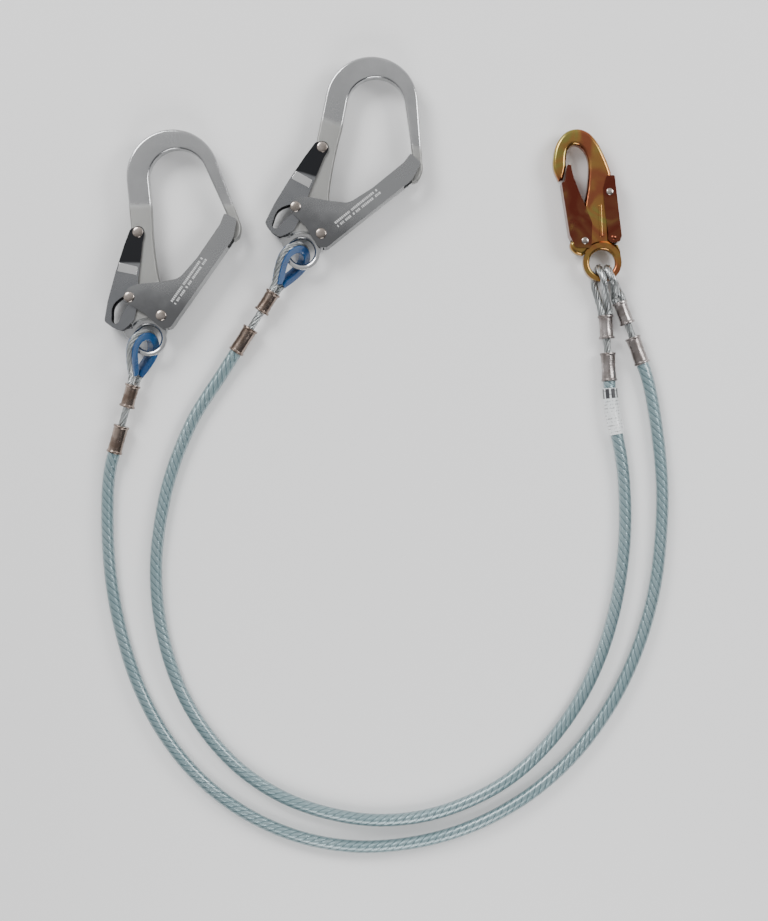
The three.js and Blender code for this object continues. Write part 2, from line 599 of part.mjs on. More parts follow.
// A folded channel: its outline, and the folded edge where the web runs.
function channel(outline, backEdge, inward, pivots, extraUp, extraDown) {
  const inner = backEdge.map(([x, y]) => new THREE.Vector2(x + inward * SHEET * WEB_SLANT, y));
  const far = inward * 90;
  const hollow = new THREE.Shape([
    new THREE.Vector2(inner[0].x, inner[0].y + extraUp), ...inner,
    new THREE.Vector2(inner.at(-1).x, inner.at(-1).y - extraDown),
    new THREE.Vector2(inner.at(-1).x + far, inner.at(-1).y - extraDown),
    new THREE.Vector2(inner[0].x + far, inner[0].y + extraUp),
  ]);
  let body = solid(slab(rounded(outline), 2 * snapPlateOutside, 0, 2));
  body = body.subtract(solid(slab(hollow, 2 * snapPlateInside)));
  for (const pivot of pivots) {
    body = body.subtract(solid(pillar(pivot, SNAP_PIN_RADIUS + GAP, -THROUGH, THROUGH)));
  }
  return surface(body);
}

// A web leans a little, so it takes up more than its own thickness across.
const WEB_SLANT = 1.03;

const SNAP_GATE_BACK = [[-31.2, 85.2], [-33.4, 70.4], [-36.3, 69.3], [-29.1, 23.4]];
const SNAP_GATE_FRONT = [
  [-24.0, 12.6, 3], [-10.0, 12.2, 3], [-9.4, 34.3, 4], [-16.7, 52.0, 6], [-21.0, 62.0, 8], [-25.8, 74.4, 8],
  [-28.1, 85.0, 1],
];
const SNAP_LEVER_INSIDE = [[8.346, 76.0], [14.646, 22.9], [13.046, 18.0]];
const SNAP_LEVER_BACK = SNAP_LEVER_INSIDE.map(([x, y]) => [x + SHEET * WEB_SLANT, y]);
const SNAP_LEVER_FRONT = [
  [8.0, 16.6, 3], [4.4, 19.6, 2], [4.6, 24.8, 2], [1.0, 53.4, 4], [0.4, 64.9, 4], [3.3, 75.8, 2],
];

function snapHook() {
  const snap = new THREE.Group();
  const gateOutlinePoints = [...SNAP_GATE_BACK.map(([x, y]) => [x, y, 0.8]), ...SNAP_GATE_FRONT];
  const leverOutlinePoints = [...SNAP_LEVER_BACK.map(([x, y]) => [x, y, 1.5]), ...SNAP_LEVER_FRONT];
  const grip = 2 * (snapPlateOutside + GAP);
  const springFloor = SNAP_THICKNESS / 2 - SPRING_SEAT_DEPTH + 0.2;
  snap.add(
    piece('snap_hook_body', snapBody(), MATERIALS.gold),
    piece('snap_gate', channel(gateOutlinePoints, SNAP_GATE_BACK, 1, [SNAP_GATE_PIVOT], 20, 20), MATERIALS.goldSheet),
    piece('snap_lock_lever',
      channel(leverOutlinePoints, SNAP_LEVER_BACK, -1, [SNAP_LEVER_PIVOT], 20, 20), MATERIALS.goldSheet),
    piece('snap_gate_pivot',
      rivet(SNAP_GATE_PIVOT, SNAP_PIN_RADIUS, grip, SNAP_HEAD_RADIUS, SNAP_HEAD_HEIGHT), MATERIALS.rivet),
    piece('snap_lever_pivot',
      rivet(SNAP_LEVER_PIVOT, SNAP_PIN_RADIUS, grip, SNAP_HEAD_RADIUS, SNAP_HEAD_HEIGHT), MATERIALS.rivet),
    piece('snap_gate_spring', coilSpring(SNAP_GATE_PIVOT, snapSpringCoil, springFloor), MATERIALS.spring),
    piece('snap_lever_spring', coilSpring(SNAP_LEVER_PIVOT, snapSpringCoil, springFloor), MATERIALS.spring),
  );
  return snap;
}

// ---------------------------------------------------------------- snap-hook end of a leg

// The snap-hook ends run from the leg towards the ring: the ferrules, then a bare soft eye
// that passes over the ring's bar, through the ring and back under the bar. Bearings are
// about the ring's centre, in degrees: where the limbs cross the bar and where the crown lies.
function snapEnd(prefix, legEnd, heading, ringCentre, { over, under, crown, frontSide }) {
  const { group, face } = ferrulePair(`${prefix}_snap`, SNAP_LINK);
  group.position.copy(legEnd);
  group.rotation.z = rad(heading + 180);
  const ahead = new THREE.Vector3(Math.cos(rad(heading)), Math.sin(rad(heading)), 0);
  const side = new THREE.Vector3(ahead.y, -ahead.x, 0).multiplyScalar(frontSide * limbOffset);
  const mouth = legEnd.clone().addScaledVector(ahead, -face + GAP + 0.2);
  const lift = RING_THICKNESS / 2 + ropeRadius + GAP + 0.4;
  const barMiddle = RING_HOLE + RING_BAR / 2;
  const inside = RING_HOLE - ropeRadius - 0.5;
  const at = (radius, bearing, z) => new THREE.Vector3(ringCentre.x + radius * Math.cos(rad(bearing)),
    ringCentre.y + radius * Math.sin(rad(bearing)), ringCentre.z + z);
  const limb = (sign, bearing) => {
    const clear = at(barMiddle + 4.5, bearing, sign * lift);
    return [
      mouth.clone().addScaledVector(side, sign),
      mouth.clone().addScaledVector(side, sign * 1.02).addScaledVector(ahead, 4),
      mouth.clone().lerp(clear, 0.55).addScaledVector(side, sign * 0.4),
      clear,
      at(barMiddle, bearing, sign * lift),
      at(inside, (bearing + crown.bearing) / 2, sign * lift * 0.6),
    ];
  };
  const points = [...limb(1, over), at(crown.radius, crown.bearing, 0), ...limb(-1, under).reverse()];
  const path = new THREE.CatmullRomCurve3(points, false, 'centripetal');
  const eye = piece(`${prefix}_snap_rope_eye`, tube(path, ropeRadius, 26, 8), MATERIALS.wire);
  return [group, eye];
}

// ---------------------------------------------------------------- the two coated legs

const asCurve = (points) => new THREE.CatmullRomCurve3(points.map((p) => new THREE.Vector3(...p)), false, 'centripetal');

function coatedLeg(name, curve) {
  const steps = Math.ceil(curve.getLength() / (2.4 * COAT_DIAMETER));
  return piece(name, tube(curve, coatRadius, steps, 8), MATERIALS.coat);
}

// A clear sleeve with a printed label on the inner leg, beside its snap-end ferrule.
function labelSleeve(curve) {
  const length = curve.getLength();
  const points = [];
  for (let i = 0; i <= 4; i += 1) {
    const fromEnd = SLEEVE_START + (SLEEVE_LENGTH * i) / 4;
    points.push(curve.getPointAt(1 - fromEnd / length));
  }
  const bore = coatRadius + SLEEVE_PLAY;
  const section = new THREE.Shape(roundSection(bore + SLEEVE_WALL, 12));
  section.holes.push(new THREE.Path(roundSection(bore, 12)));
  const path = new THREE.CatmullRomCurve3(points, false, 'centripetal');
  const geometry = new THREE.ExtrudeGeometry(section, { steps: 5, bevelEnabled: false, extrudePath: path });
  return piece('label_sleeve', geometry, MATERIALS.sleeve);
}

// ---------------------------------------------------------------- assembly

const lanyard = new THREE.Group();
const outerCurve = asCurve(OUTER_LEG);
const innerCurve = asCurve(INNER_LEG);

lanyard.add(coatedLeg('outer_leg', outerCurve), coatedLeg('inner_leg', innerCurve), labelSleeve(innerCurve));
lanyard.add(...hookSide('outer', outerCurve.getPoint(0), OUTER_HEADING.hook));
lanyard.add(...hookSide('inner', innerCurve.getPoint(0), INNER_HEADING.hook));

const innerEnd = innerCurve.getPoint(1);
const outerEnd = outerCurve.getPoint(1);
const snap = snapHook();
snap.position.set(innerEnd.x - 7.2, innerEnd.y + 104.1, SNAP_HEIGHT);
lanyard.add(snap);
lanyard.add(...snapEnd('inner', innerEnd, INNER_HEADING.snap, snap.position,
  { over: -88, under: -108, crown: { radius: 4.9, bearing: -125 }, frontSide: 1 }));
lanyard.add(...snapEnd('outer', outerEnd, OUTER_HEADING.snap, snap.position,
  { over: -60, under: -52, crown: { radius: 6.2, bearing: -40 }, frontSide: -1 }));

export default lanyard;
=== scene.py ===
"""A twin-leg wire-rope lanyard: two scaffold hooks, two vinyl-coated legs and a double-locking snap hook."""

import json
import logging
import math
import random
from collections.abc import Callable, Sequence
from dataclasses import dataclass
from enum import Enum

import bmesh
import bpy
from mathutils import Matrix, Vector


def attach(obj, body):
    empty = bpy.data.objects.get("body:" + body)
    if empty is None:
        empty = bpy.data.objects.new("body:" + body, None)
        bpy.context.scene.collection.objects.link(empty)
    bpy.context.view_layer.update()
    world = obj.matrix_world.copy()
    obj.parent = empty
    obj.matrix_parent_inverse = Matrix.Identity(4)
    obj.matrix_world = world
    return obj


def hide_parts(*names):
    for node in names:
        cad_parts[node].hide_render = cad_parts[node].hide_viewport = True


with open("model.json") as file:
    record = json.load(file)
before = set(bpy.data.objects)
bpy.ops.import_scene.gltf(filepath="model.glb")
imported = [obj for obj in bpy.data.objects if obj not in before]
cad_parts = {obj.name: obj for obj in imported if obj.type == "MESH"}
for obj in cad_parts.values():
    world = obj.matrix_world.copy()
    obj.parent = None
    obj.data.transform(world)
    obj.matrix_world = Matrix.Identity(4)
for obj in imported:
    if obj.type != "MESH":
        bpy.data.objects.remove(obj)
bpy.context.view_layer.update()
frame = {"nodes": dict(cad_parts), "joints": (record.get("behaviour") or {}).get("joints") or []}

LOG = logging.getLogger("lanyard")

MM = 0.001
GAP = 0.3  # the clearance between two pieces, in millimetres
BEYOND = 30.0  # how far a cutter reaches past the metal
Plan = list[tuple[float, float]]


class Side(Enum):
    """Which of the two legs, as the photo shows them."""

    OUTER = "outer"
    INNER = "inner"


class End(Enum):
    """Which end of a leg."""

    HOOK = "hook"
    SNAP = "snap"



# The two coated legs' centre lines, from the hook end to the snap-hook end, in metres.
OUTER_ROUTE: list[tuple[float, float, float]] = [
    (-0.233, -0.1726, 0.00775), (-0.2355, -0.1812, 0.00708), (-0.2377, -0.194, 0.00615),
    (-0.239, -0.213, 0.0057), (-0.2384, -0.256, 0.0057), (-0.2338, -0.2979, 0.0057),
    (-0.2247, -0.3392, 0.0057), (-0.2112, -0.3792, 0.0057), (-0.1919, -0.4167, 0.0057),
    (-0.1665, -0.4504, 0.0057), (-0.1351, -0.4787, 0.0057), (-0.0987, -0.5002, 0.0057),
    (-0.0589, -0.5142, 0.0057), (-0.0171, -0.5199, 0.0057), (0.0251, -0.5173, 0.0057),
    (0.0663, -0.5078, 0.0057), (0.1051, -0.4913, 0.0057), (0.1407, -0.4685, 0.0057),
    (0.1718, -0.44, 0.0057), (0.1978, -0.4067, 0.0057), (0.2186, -0.3699, 0.0057),
    (0.2341, -0.3307, 0.0057), (0.2444, -0.2898, 0.0057), (0.2495, -0.2478, 0.0057),
    (0.2509, -0.2055, 0.0057), (0.2476, -0.1634, 0.0057), (0.2408, -0.12, 0.0063),
    (0.2362, -0.10245, 0.00715), (0.2331, -0.094, 0.00715),
]
INNER_ROUTE: list[tuple[float, float, float]] = [
    (-0.1258, -0.0837, 0.00775), (-0.13065, -0.09125, 0.00708), (-0.139, -0.1042, 0.00615),
    (-0.1524, -0.1243, 0.0057), (-0.1638, -0.1433, 0.0057), (-0.1801, -0.182, 0.0057),
    (-0.1889, -0.2137, 0.0057), (-0.196, -0.2645, 0.0057), (-0.1946, -0.3067, 0.0057),
    (-0.1865, -0.3482, 0.0057), (-0.1716, -0.3877, 0.0057), (-0.1489, -0.4233, 0.0057),
    (-0.1196, -0.4536, 0.0057), (-0.0839, -0.4764, 0.0057), (-0.0442, -0.4904, 0.0057),
    (-0.0024, -0.4966, 0.0057), (0.0397, -0.493, 0.0057), (0.0799, -0.4801, 0.0057),
    (0.1168, -0.4595, 0.0057), (0.148, -0.4312, 0.0057), (0.1736, -0.3975, 0.0057),
    (0.193, -0.36, 0.0057), (0.2066, -0.3199, 0.0057), (0.2146, -0.2785, 0.0057),
    (0.2181, -0.2364, 0.0057), (0.217, -0.197, 0.0057), (0.2146, -0.177, 0.0066),
    (0.2102, -0.154, 0.00705), (0.2066, -0.136, 0.00705), (0.20455, -0.1183, 0.00715),
    (0.204, -0.1093, 0.00715),
]


# ---------------------------------------------------------------- curves and outlines


def smooth(points: Sequence[Vector], per_span: int = 12) -> list[Vector]:
    """Runs a centripetal Catmull-Rom curve through the points.

    Args:
        points: The points that the curve passes through.
        per_span: How many steps lie between two of them.

    Returns:
        The curve's points.
    """
    ends = [2 * points[0] - points[1], *points, 2 * points[-1] - points[-2]]
    line: list[Vector] = []
    for p0, p1, p2, p3 in zip(ends, ends[1:], ends[2:], ends[3:]):
        d0, d1, d2 = ((b - a).length ** 0.5 for a, b in ((p0, p1), (p1, p2), (p2, p3)))
        out = ((p1 - p0) / d0 - (p2 - p0) / (d0 + d1) + (p2 - p1) / d1) * d1
        into = ((p2 - p1) / d1 - (p3 - p1) / (d1 + d2) + (p3 - p2) / d2) * d1
        for step in range(per_span):
            t = step / per_span
            c2 = 3 * (p2 - p1) - 2 * out - into
            c3 = 2 * (p1 - p2) + out + into
            line.append(p1 + out * t + c2 * t * t + c3 * t ** 3)
    return [*line, points[-1].copy()]


def spaced(line: Sequence[Vector], step: float) -> list[Vector]:
    """Puts evenly spaced points along a line.

    Args:
        line: The line's own points.
        step: The wanted distance between two points.

    Returns:
        The evenly spaced points, both ends among them.
    """
    reach = [0.0]
    for a, b in zip(line, line[1:]):
        reach.append(reach[-1] + (b - a).length)
    count = max(2, round(reach[-1] / step))
    result, at = [], 0
    for i in range(count + 1):
        goal = reach[-1] * i / count
        while at < len(line) - 2 and reach[at + 1] < goal:
            at += 1
        result.append(line[at].lerp(line[at + 1], (goal - reach[at]) / (reach[at + 1] - reach[at])))
    return result


def arc(x: float, y: float, radius: float, start: float, end: float, step: float = 5.0) -> Plan:
    """Puts points along an arc.

    Args:
        x: The centre's x.
        y: The centre's y.
        radius: The arc's radius.
        start: The first point's bearing, in degrees.
        end: The last point's bearing, in degrees.
        step: The largest angle between two points, in degrees.

    Returns:
        The points.
    """
    count = max(3, math.ceil(abs(end - start) / step))
    turns = [math.radians(start + (end - start) * i / count) for i in range(count + 1)]
    return [(x + radius * math.cos(turn), y + radius * math.sin(turn)) for turn in turns]


def through(points: Plan, per_span: int = 6) -> Plan:
    """A smooth plan line through the points."""
    return [(p.x, p.y) for p in smooth([Vector((x, y, 0)) for x, y in points], per_span)]


def rounded(corners: Sequence[tuple[float, float, float]], steps: int = 6) -> Plan:
    """Rounds each corner of a polygon.

    Args:
        corners: Each corner's x, y and how much of it is rounded away.
        steps: How many edges make one corner.

    Returns:
        The rounded outline.
    """
    outline: Plan = []
    for i, (x, y, radius) in enumerate(corners):
        here = Vector((x, y))
        before = Vector(corners[i - 1][:2]) - here
        after = Vector(corners[(i + 1) % len(corners)][:2]) - here
        half = before.angle(after) / 2
        reach = min(radius / math.tan(half), 0.45 * before.length, 0.45 * after.length)
        start, end = here + before.normalized() * reach, here + after.normalized() * reach
        for step in range(steps + 1):
            t = step / steps
            p = start * (1 - t) ** 2 + here * (2 * t * (1 - t)) + end * t * t
            outline.append((p.x, p.y))
    return outline


def band(points: Plan, half_width: float) -> Plan:
    """Draws a slot along a run of points, round at both ends.

    Args:
        points: The points that the slot's middle runs through.
        half_width: Half its width.

    Returns:
        The slot's outline.
    """
    line = [Vector(p) for p in through(points, 5)]
    along = [(b - a).normalized() for a, b in zip(line, line[1:])]
    along.append(along[-1])
    left = [(p.x - t.y * half_width, p.y + t.x * half_width) for p, t in zip(line, along)]
    right = [(p.x + t.y * half_width, p.y - t.x * half_width) for p, t in zip(line, along)]
    first = math.degrees(math.atan2(-along[0].y, -along[0].x))
    last = math.degrees(math.atan2(along[-1].y, along[-1].x))
    head = arc(*line[-1], half_width, last - 90, last + 90, 20)[1:-1]
    foot = arc(*line[0], half_width, first - 90, first + 90, 20)[1:-1]
    return [*right, *head, *left[::-1], *foot]


# ---------------------------------------------------------------- meshes, in millimetres


def modified(mesh: bpy.types.Mesh, change: Callable[[bpy.types.Object], None]) -> bpy.types.Mesh:
    """Applies modifiers to a mesh.

    Args:
        mesh: The mesh, which is used up.
        change: Puts the modifiers on a passing object that holds the mesh.

    Returns:
        The changed mesh.
    """
    holder = bpy.data.objects.new("holder", mesh)
    bpy.context.scene.collection.objects.link(holder)
    change(holder)
    graph = bpy.context.evaluated_depsgraph_get()
    result = bpy.data.meshes.new_from_object(holder.evaluated_get(graph))
    bpy.data.objects.remove(holder)
    return result


def carved(mesh: bpy.types.Mesh, other: bpy.types.Mesh) -> bpy.types.Mesh:
    """Cuts one closed mesh away from another.

    Args:
        mesh: The mesh that is changed.
        other: The mesh that is cut away.

    Returns:
        The changed mesh.
    """
    tool = bpy.data.objects.new("tool", other)
    bpy.context.scene.collection.objects.link(tool)

    def change(holder: bpy.types.Object) -> None:
        """Puts the cut on the passing object."""
        modifier = holder.modifiers.new("cut", "BOOLEAN")
        modifier.operation = "DIFFERENCE"
        modifier.object = tool
        modifier.solver = "EXACT"

    result = modified(mesh, change)
    bpy.data.objects.remove(tool)
    return result


def deburred(mesh: bpy.types.Mesh) -> bpy.types.Mesh:
    """Rounds every sharp edge of a sheet piece a little."""

    def change(holder: bpy.types.Object) -> None:
        """Puts the rounding on the passing object."""
        modifier = holder.modifiers.new("soft", "BEVEL")
        modifier.width = 0.3
        modifier.segments = 2
        modifier.angle_limit = math.radians(45)
        modifier.use_clamp_overlap = True

    return modified(mesh, change)


def weighted(holder: bpy.types.Object) -> None:
    """Makes the shading follow the large faces, so that flats look flat beside their fillets."""
    holder.modifiers.new("weighted", "WEIGHTED_NORMAL").keep_sharp = True


def prism(outline: Plan, low: float, high: float) -> bpy.types.Mesh:
    """Raises a plan outline between two heights.

    Args:
        outline: The plan outline.
        low: The lower height.
        high: The upper height.

    Returns:
        The closed mesh.
    """
    bm = bmesh.new()
    floor = [bm.verts.new((x, y, low)) for x, y in outline]
    roof = [bm.verts.new((x, y, high)) for x, y in outline]
    bm.faces.new(floor[::-1])
    bm.faces.new(roof)
    count = len(outline)
    for i in range(count):
        j = (i + 1) % count
        bm.faces.new((floor[i], floor[j], roof[j], roof[i]))
    bmesh.ops.recalc_face_normals(bm, faces=bm.faces)
    mesh = bpy.data.meshes.new("prism")
    bm.to_mesh(mesh)
    bm.free()
    return mesh


def eased(mesh: bpy.types.Mesh, chosen: Callable[[Vector], bool], width: float) -> bpy.types.Mesh:
    """Rounds the level edges whose two ends pass a test.

    Args:
        mesh: The mesh, which is changed.
        chosen: True for a place on an edge that is rounded.
        width: The radius of the rounding.

    Returns:
        The same mesh.
    """
    level = 0.01
    bm = bmesh.new()
    bm.from_mesh(mesh)
    edges = [
        edge for edge in bm.edges
        if abs(edge.verts[0].co.z - edge.verts[1].co.z) < level and all(chosen(v.co) for v in edge.verts)
    ]
    bmesh.ops.bevel(bm, geom=edges, offset=width, segments=5, profile=0.5, affect="EDGES", clamp_overlap=True)
    bm.to_mesh(mesh)
    bm.free()
    return mesh


def on_fold(fold: Plan) -> Callable[[Vector], bool]:
    """A test for places above or below a run of plan points, where sheet is folded."""
    near = 0.25
    runs = [(Vector(a), Vector(b) - Vector(a)) for a, b in zip(fold, fold[1:])]

    def chosen(place: Vector) -> bool:
        """True for a place on the run."""
        for start, side in runs:
            share = min(1.0, max(0.0, (place.xy - start).dot(side) / side.length_squared))
            if (start + side * share - place.xy).length < near:
                return True
        return False

    return chosen


def slab(outline: Plan, thickness: float, edge: float) -> bpy.types.Mesh:
    """A forged plate with rounded edges, to both sides of height 0.

    Args:
        outline: The plan outline.
        thickness: The plate's thickness.
        edge: The radius of its edges.

    Returns:
        The closed mesh.
    """
    data = bpy.data.curves.new("slab", "CURVE")
    data.dimensions = "2D"
    data.fill_mode = "BOTH"
    data.extrude = thickness / 2 - edge
    data.bevel_depth = edge
    data.bevel_resolution = 3
    data.offset = -edge
    spline = data.splines.new("POLY")
    spline.points.add(len(outline) - 1)
    for point, (x, y) in zip(spline.points, outline):
        point.co = (x, y, 0, 1)
    spline.use_cyclic_u = True
    holder = bpy.data.objects.new("slab", data)
    bpy.context.scene.collection.objects.link(holder)
    graph = bpy.context.evaluated_depsgraph_get()
    mesh = bpy.data.meshes.new_from_object(holder.evaluated_get(graph))
    bpy.data.objects.remove(holder)
    return welded(mesh)


def welded(mesh: bpy.types.Mesh) -> bpy.types.Mesh:
    """Joins a mesh's doubled vertices and turns its faces outwards."""
    bm = bmesh.new()
    bm.from_mesh(mesh)
    bmesh.ops.remove_doubles(bm, verts=bm.verts, dist=1e-3)
    bmesh.ops.recalc_face_normals(bm, faces=bm.faces)
    bm.to_mesh(mesh)
    bm.free()
    return mesh


def lathe(
    profile: Plan, segments: int = 40, shape: Callable[[float, float], float] | None = None
) -> bpy.types.Mesh:
    """Turns a profile about the X axis.

    Args:
        profile: Pairs of x and radius, a closed loop where it does not start and end on the axis.
        segments: How many steps go round.
        shape: Gives the share of its radius that a point keeps, from its x and bearing.

    Returns:
        The closed mesh.
    """
    bm = bmesh.new()
    rings = []
    for x, radius in profile:
        ring = []
        for i in range(segments if radius > 0 else 1):
            turn = 2 * math.pi * i / segments
            r = radius * (shape(x, turn) if shape else 1.0)
            ring.append(bm.verts.new((x, r * math.cos(turn), r * math.sin(turn))))
        rings.append(ring)
    closed = profile[0][1] > 0
    for a, b in zip(rings, rings[1:] + rings[:1] if closed else rings[1:]):
        for i in range(segments):
            j = (i + 1) % segments
            corners = dict.fromkeys([a[i % len(a)], a[j % len(a)], b[j % len(b)], b[i % len(b)]])
            bm.faces.new(list(corners))
    bmesh.ops.recalc_face_normals(bm, faces=bm.faces)
    mesh = bpy.data.meshes.new("lathe")
    bm.to_mesh(mesh)
    bm.free()
    return mesh


def turned(profile: Plan, x: float, y: float, segments: int = 32) -> bpy.types.Mesh:
    """Turns a profile of height and radius about an upright axis at a plan point."""
    mesh = lathe(profile, segments)
    mesh.transform(Matrix.Translation((x, y, 0)) @ Matrix.Rotation(-math.pi / 2, 4, "Y"))
    return mesh


def drum(x: float, y: float, radius: float, low: float, high: float = BEYOND) -> bpy.types.Mesh:
    """An upright round cutter."""
    return turned([(low, 0), (low, radius), (high, radius), (high, 0)], x, y, 36)


def hole(at: tuple[float, float], radius: float) -> bpy.types.Mesh:
    """A cutter for a hole that goes right through."""
    return drum(*at, radius, -BEYOND)


def seated(
    mesh: bpy.types.Mesh, pivots: Plan, pin: float, wall: float, floor: float
) -> bpy.types.Mesh:
    """Bores a forging for its rivets, with a round seat for a spring above each bore.

    Args:
        mesh: The forging.
        pivots: The rivets' plan points.
        pin: The rivets' radius.
        wall: How far a seat is past its rivet.
        floor: The height of the seats.

    Returns:
        The bored forging.
    """
    for pivot in pivots:
        mesh = carved(mesh, hole(pivot, pin + GAP))
        mesh = carved(mesh, drum(*pivot, pin + wall, floor))
    return mesh


def folded(
    outline: Plan, hollow: Plan, fold: Plan, inside: float, sheet: float, bend: float,
    cutters: Sequence[bpy.types.Mesh],
) -> bpy.types.Mesh:
    """A channel folded from sheet: two side plates joined by a web.

    Args:
        outline: The side plates' outline.
        hollow: The outline of what is empty between them.
        fold: The run of plan points where the web is.
        inside: Half the clear width.
        sheet: The sheet's thickness.
        bend: The outer radius of the folds.
        cutters: What is cut out of it.

    Returns:
        The channel's mesh.
    """
    outside = inside + sheet
    shell = eased(prism(outline, -outside, outside), on_fold(fold), bend)
    mesh = carved(shell, prism(hollow, -inside, inside))
    for cutter in cutters:
        mesh = carved(mesh, cutter)
    return deburred(mesh)


def sweep(
    line: Sequence[Vector], section: Callable[[Vector], Plan], normal: Vector | None = None
) -> bpy.types.Mesh:
    """Runs a section along a line; the layer "lay" holds the way along, in metres, and the way round.

    Args:
        line: The line, evenly spaced.
        section: Gives the section's points at a place on the line.
        normal: Where the section's first axis points at the start.

    Returns:
        The closed mesh.
    """
    tangents = [(b - a).normalized() for a, b in zip([line[0], *line], [*line[1:], line[-1]])]
    across = normal or tangents[0].orthogonal()
    verts, reach, ways = [], 0.0, []
    for i, (point, tangent) in enumerate(zip(line, tangents)):
        across = (across - tangent * across.dot(tangent)).normalized()
        up = tangent.cross(across)
        verts.extend(point + across * a + up * b for a, b in section(point))
        reach += (point - line[i - 1]).length * MM if i else 0.0
        ways.append(reach)
    count = len(section(line[0]))
    faces, around = [], []
    for i in range(len(line) - 1):
        for k in range(count):
            j = (k + 1) % count
            faces.append((i * count + k, i * count + j, (i + 1) * count + j, (i + 1) * count + k))
            left, right = k / count, (k + 1) / count
            around.extend(((ways[i], left), (ways[i], right), (ways[i + 1], right), (ways[i + 1], left)))
    for ring, order in ((0, -1), (len(line) - 1, 1)):
        faces.append(tuple(ring * count + k for k in range(count))[::order])
        around.extend([(ways[ring], 0.0)] * count)
    mesh = bpy.data.meshes.new("sweep")
    mesh.from_pydata(verts, [], faces)
    layer = mesh.uv_layers.new(name="lay")
    layer.data.foreach_set("uv", [value for pair in around for value in pair])
    return mesh


def disc_section(radius: float, sides: int) -> Callable[[Vector], Plan]:
    """A round section."""
    points = arc(0, 0, radius, 0, 360 * (1 - 1 / sides), 360 / sides)
    return lambda _point: points


def merged(parts: Sequence[bpy.types.Mesh]) -> bpy.types.Mesh:
    """Puts several meshes into one."""
    bm = bmesh.new()
    for part in parts:
        bm.from_mesh(part)
    mesh = bpy.data.meshes.new("merged")
    bm.to_mesh(mesh)
    bm.free()
    return mesh


def marked(mesh: bpy.types.Mesh) -> bpy.types.Mesh:
    """Gives the whole mesh its piece's second finish."""
    for face in mesh.polygons:
        face.material_index = 1
    return mesh


def stranded(line: Sequence[Vector], radius: float) -> bpy.types.Mesh:
    """Six strands laid round a core.

    Args:
        line: The rope's centre line.
        radius: The rope's radius.

    Returns:
        The rope's mesh.
    """
    strands, lay, step = 6, 38.0, 1.5
    strand = radius / 3
    centre = spaced(line, step)
    tangents = [(b - a).normalized() for a, b in zip([centre[0], *centre], [*centre[1:], centre[-1]])]
    paths: list[list[Vector]] = [[] for _ in range(strands)]
    across = tangents[0].orthogonal()
    for i, (point, tangent) in enumerate(zip(centre, tangents)):
        across = (across - tangent * across.dot(tangent)).normalized()
        up = tangent.cross(across)
        for k, path in enumerate(paths):
            turn = 2 * math.pi * (i * step / lay + k / strands)
            path.append(point + (across * math.cos(turn) + up * math.sin(turn)) * (radius - strand))
    core = sweep(centre, disc_section(strand * 1.2, 8))
    return merged([sweep(path, disc_section(strand * 1.04, 9)) for path in paths] + [core])


# ---------------------------------------------------------------- pieces

SHARP_FROM = 33.0  # edges at a larger angle, in degrees, are shaded as sharp


def dressed(
    name: str,
    mesh: bpy.types.Mesh,
    place: Matrix,
    body: str,
    finishes: Sequence["Finish"],
    nodes: Sequence[str],
) -> bpy.types.Object:
    """Makes one piece of the lanyard from a mesh in millimetres.

    Args:
        name: The piece's name.
        mesh: Its mesh, in millimetres.
        place: Where it lies, in millimetres.
        body: The moving body that it rides on.
        finishes: Its finishes, in the order of its material slots.
        nodes: The plain solids that it stands for.

    Returns:
        The piece.
    """
    if "lay" not in mesh.uv_layers:
        layer = mesh.uv_layers.new(name="plan")
        plan = [0.0] * (2 * len(mesh.loops))
        for i, loop in enumerate(mesh.loops):
            plan[2 * i:2 * i + 2] = (mesh.vertices[loop.vertex_index].co * MM).xy
        layer.data.foreach_set("uv", plan)
    mesh.transform(Matrix.Scale(MM, 4) @ place)
    mesh.shade_smooth()
    mesh.set_sharp_from_angle(angle=math.radians(SHARP_FROM))
    mesh = modified(mesh, weighted)
    for finish in finishes:
        mesh.materials.append(finish.material())
    piece = bpy.data.objects.new(name, mesh)
    bpy.context.scene.collection.objects.link(piece)
    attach(piece, body)
    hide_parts(*nodes)
    LOG.info("%s: %d faces", name, len(mesh.polygons))
    return piece


def joint_place(name: str) -> Vector:
    """A joint's place, in millimetres."""
    joint = next(j for j in frame["joints"] if j["name"] == name)
    return Vector(joint["pos_m"]) / MM


# ---------------------------------------------------------------- shader groups


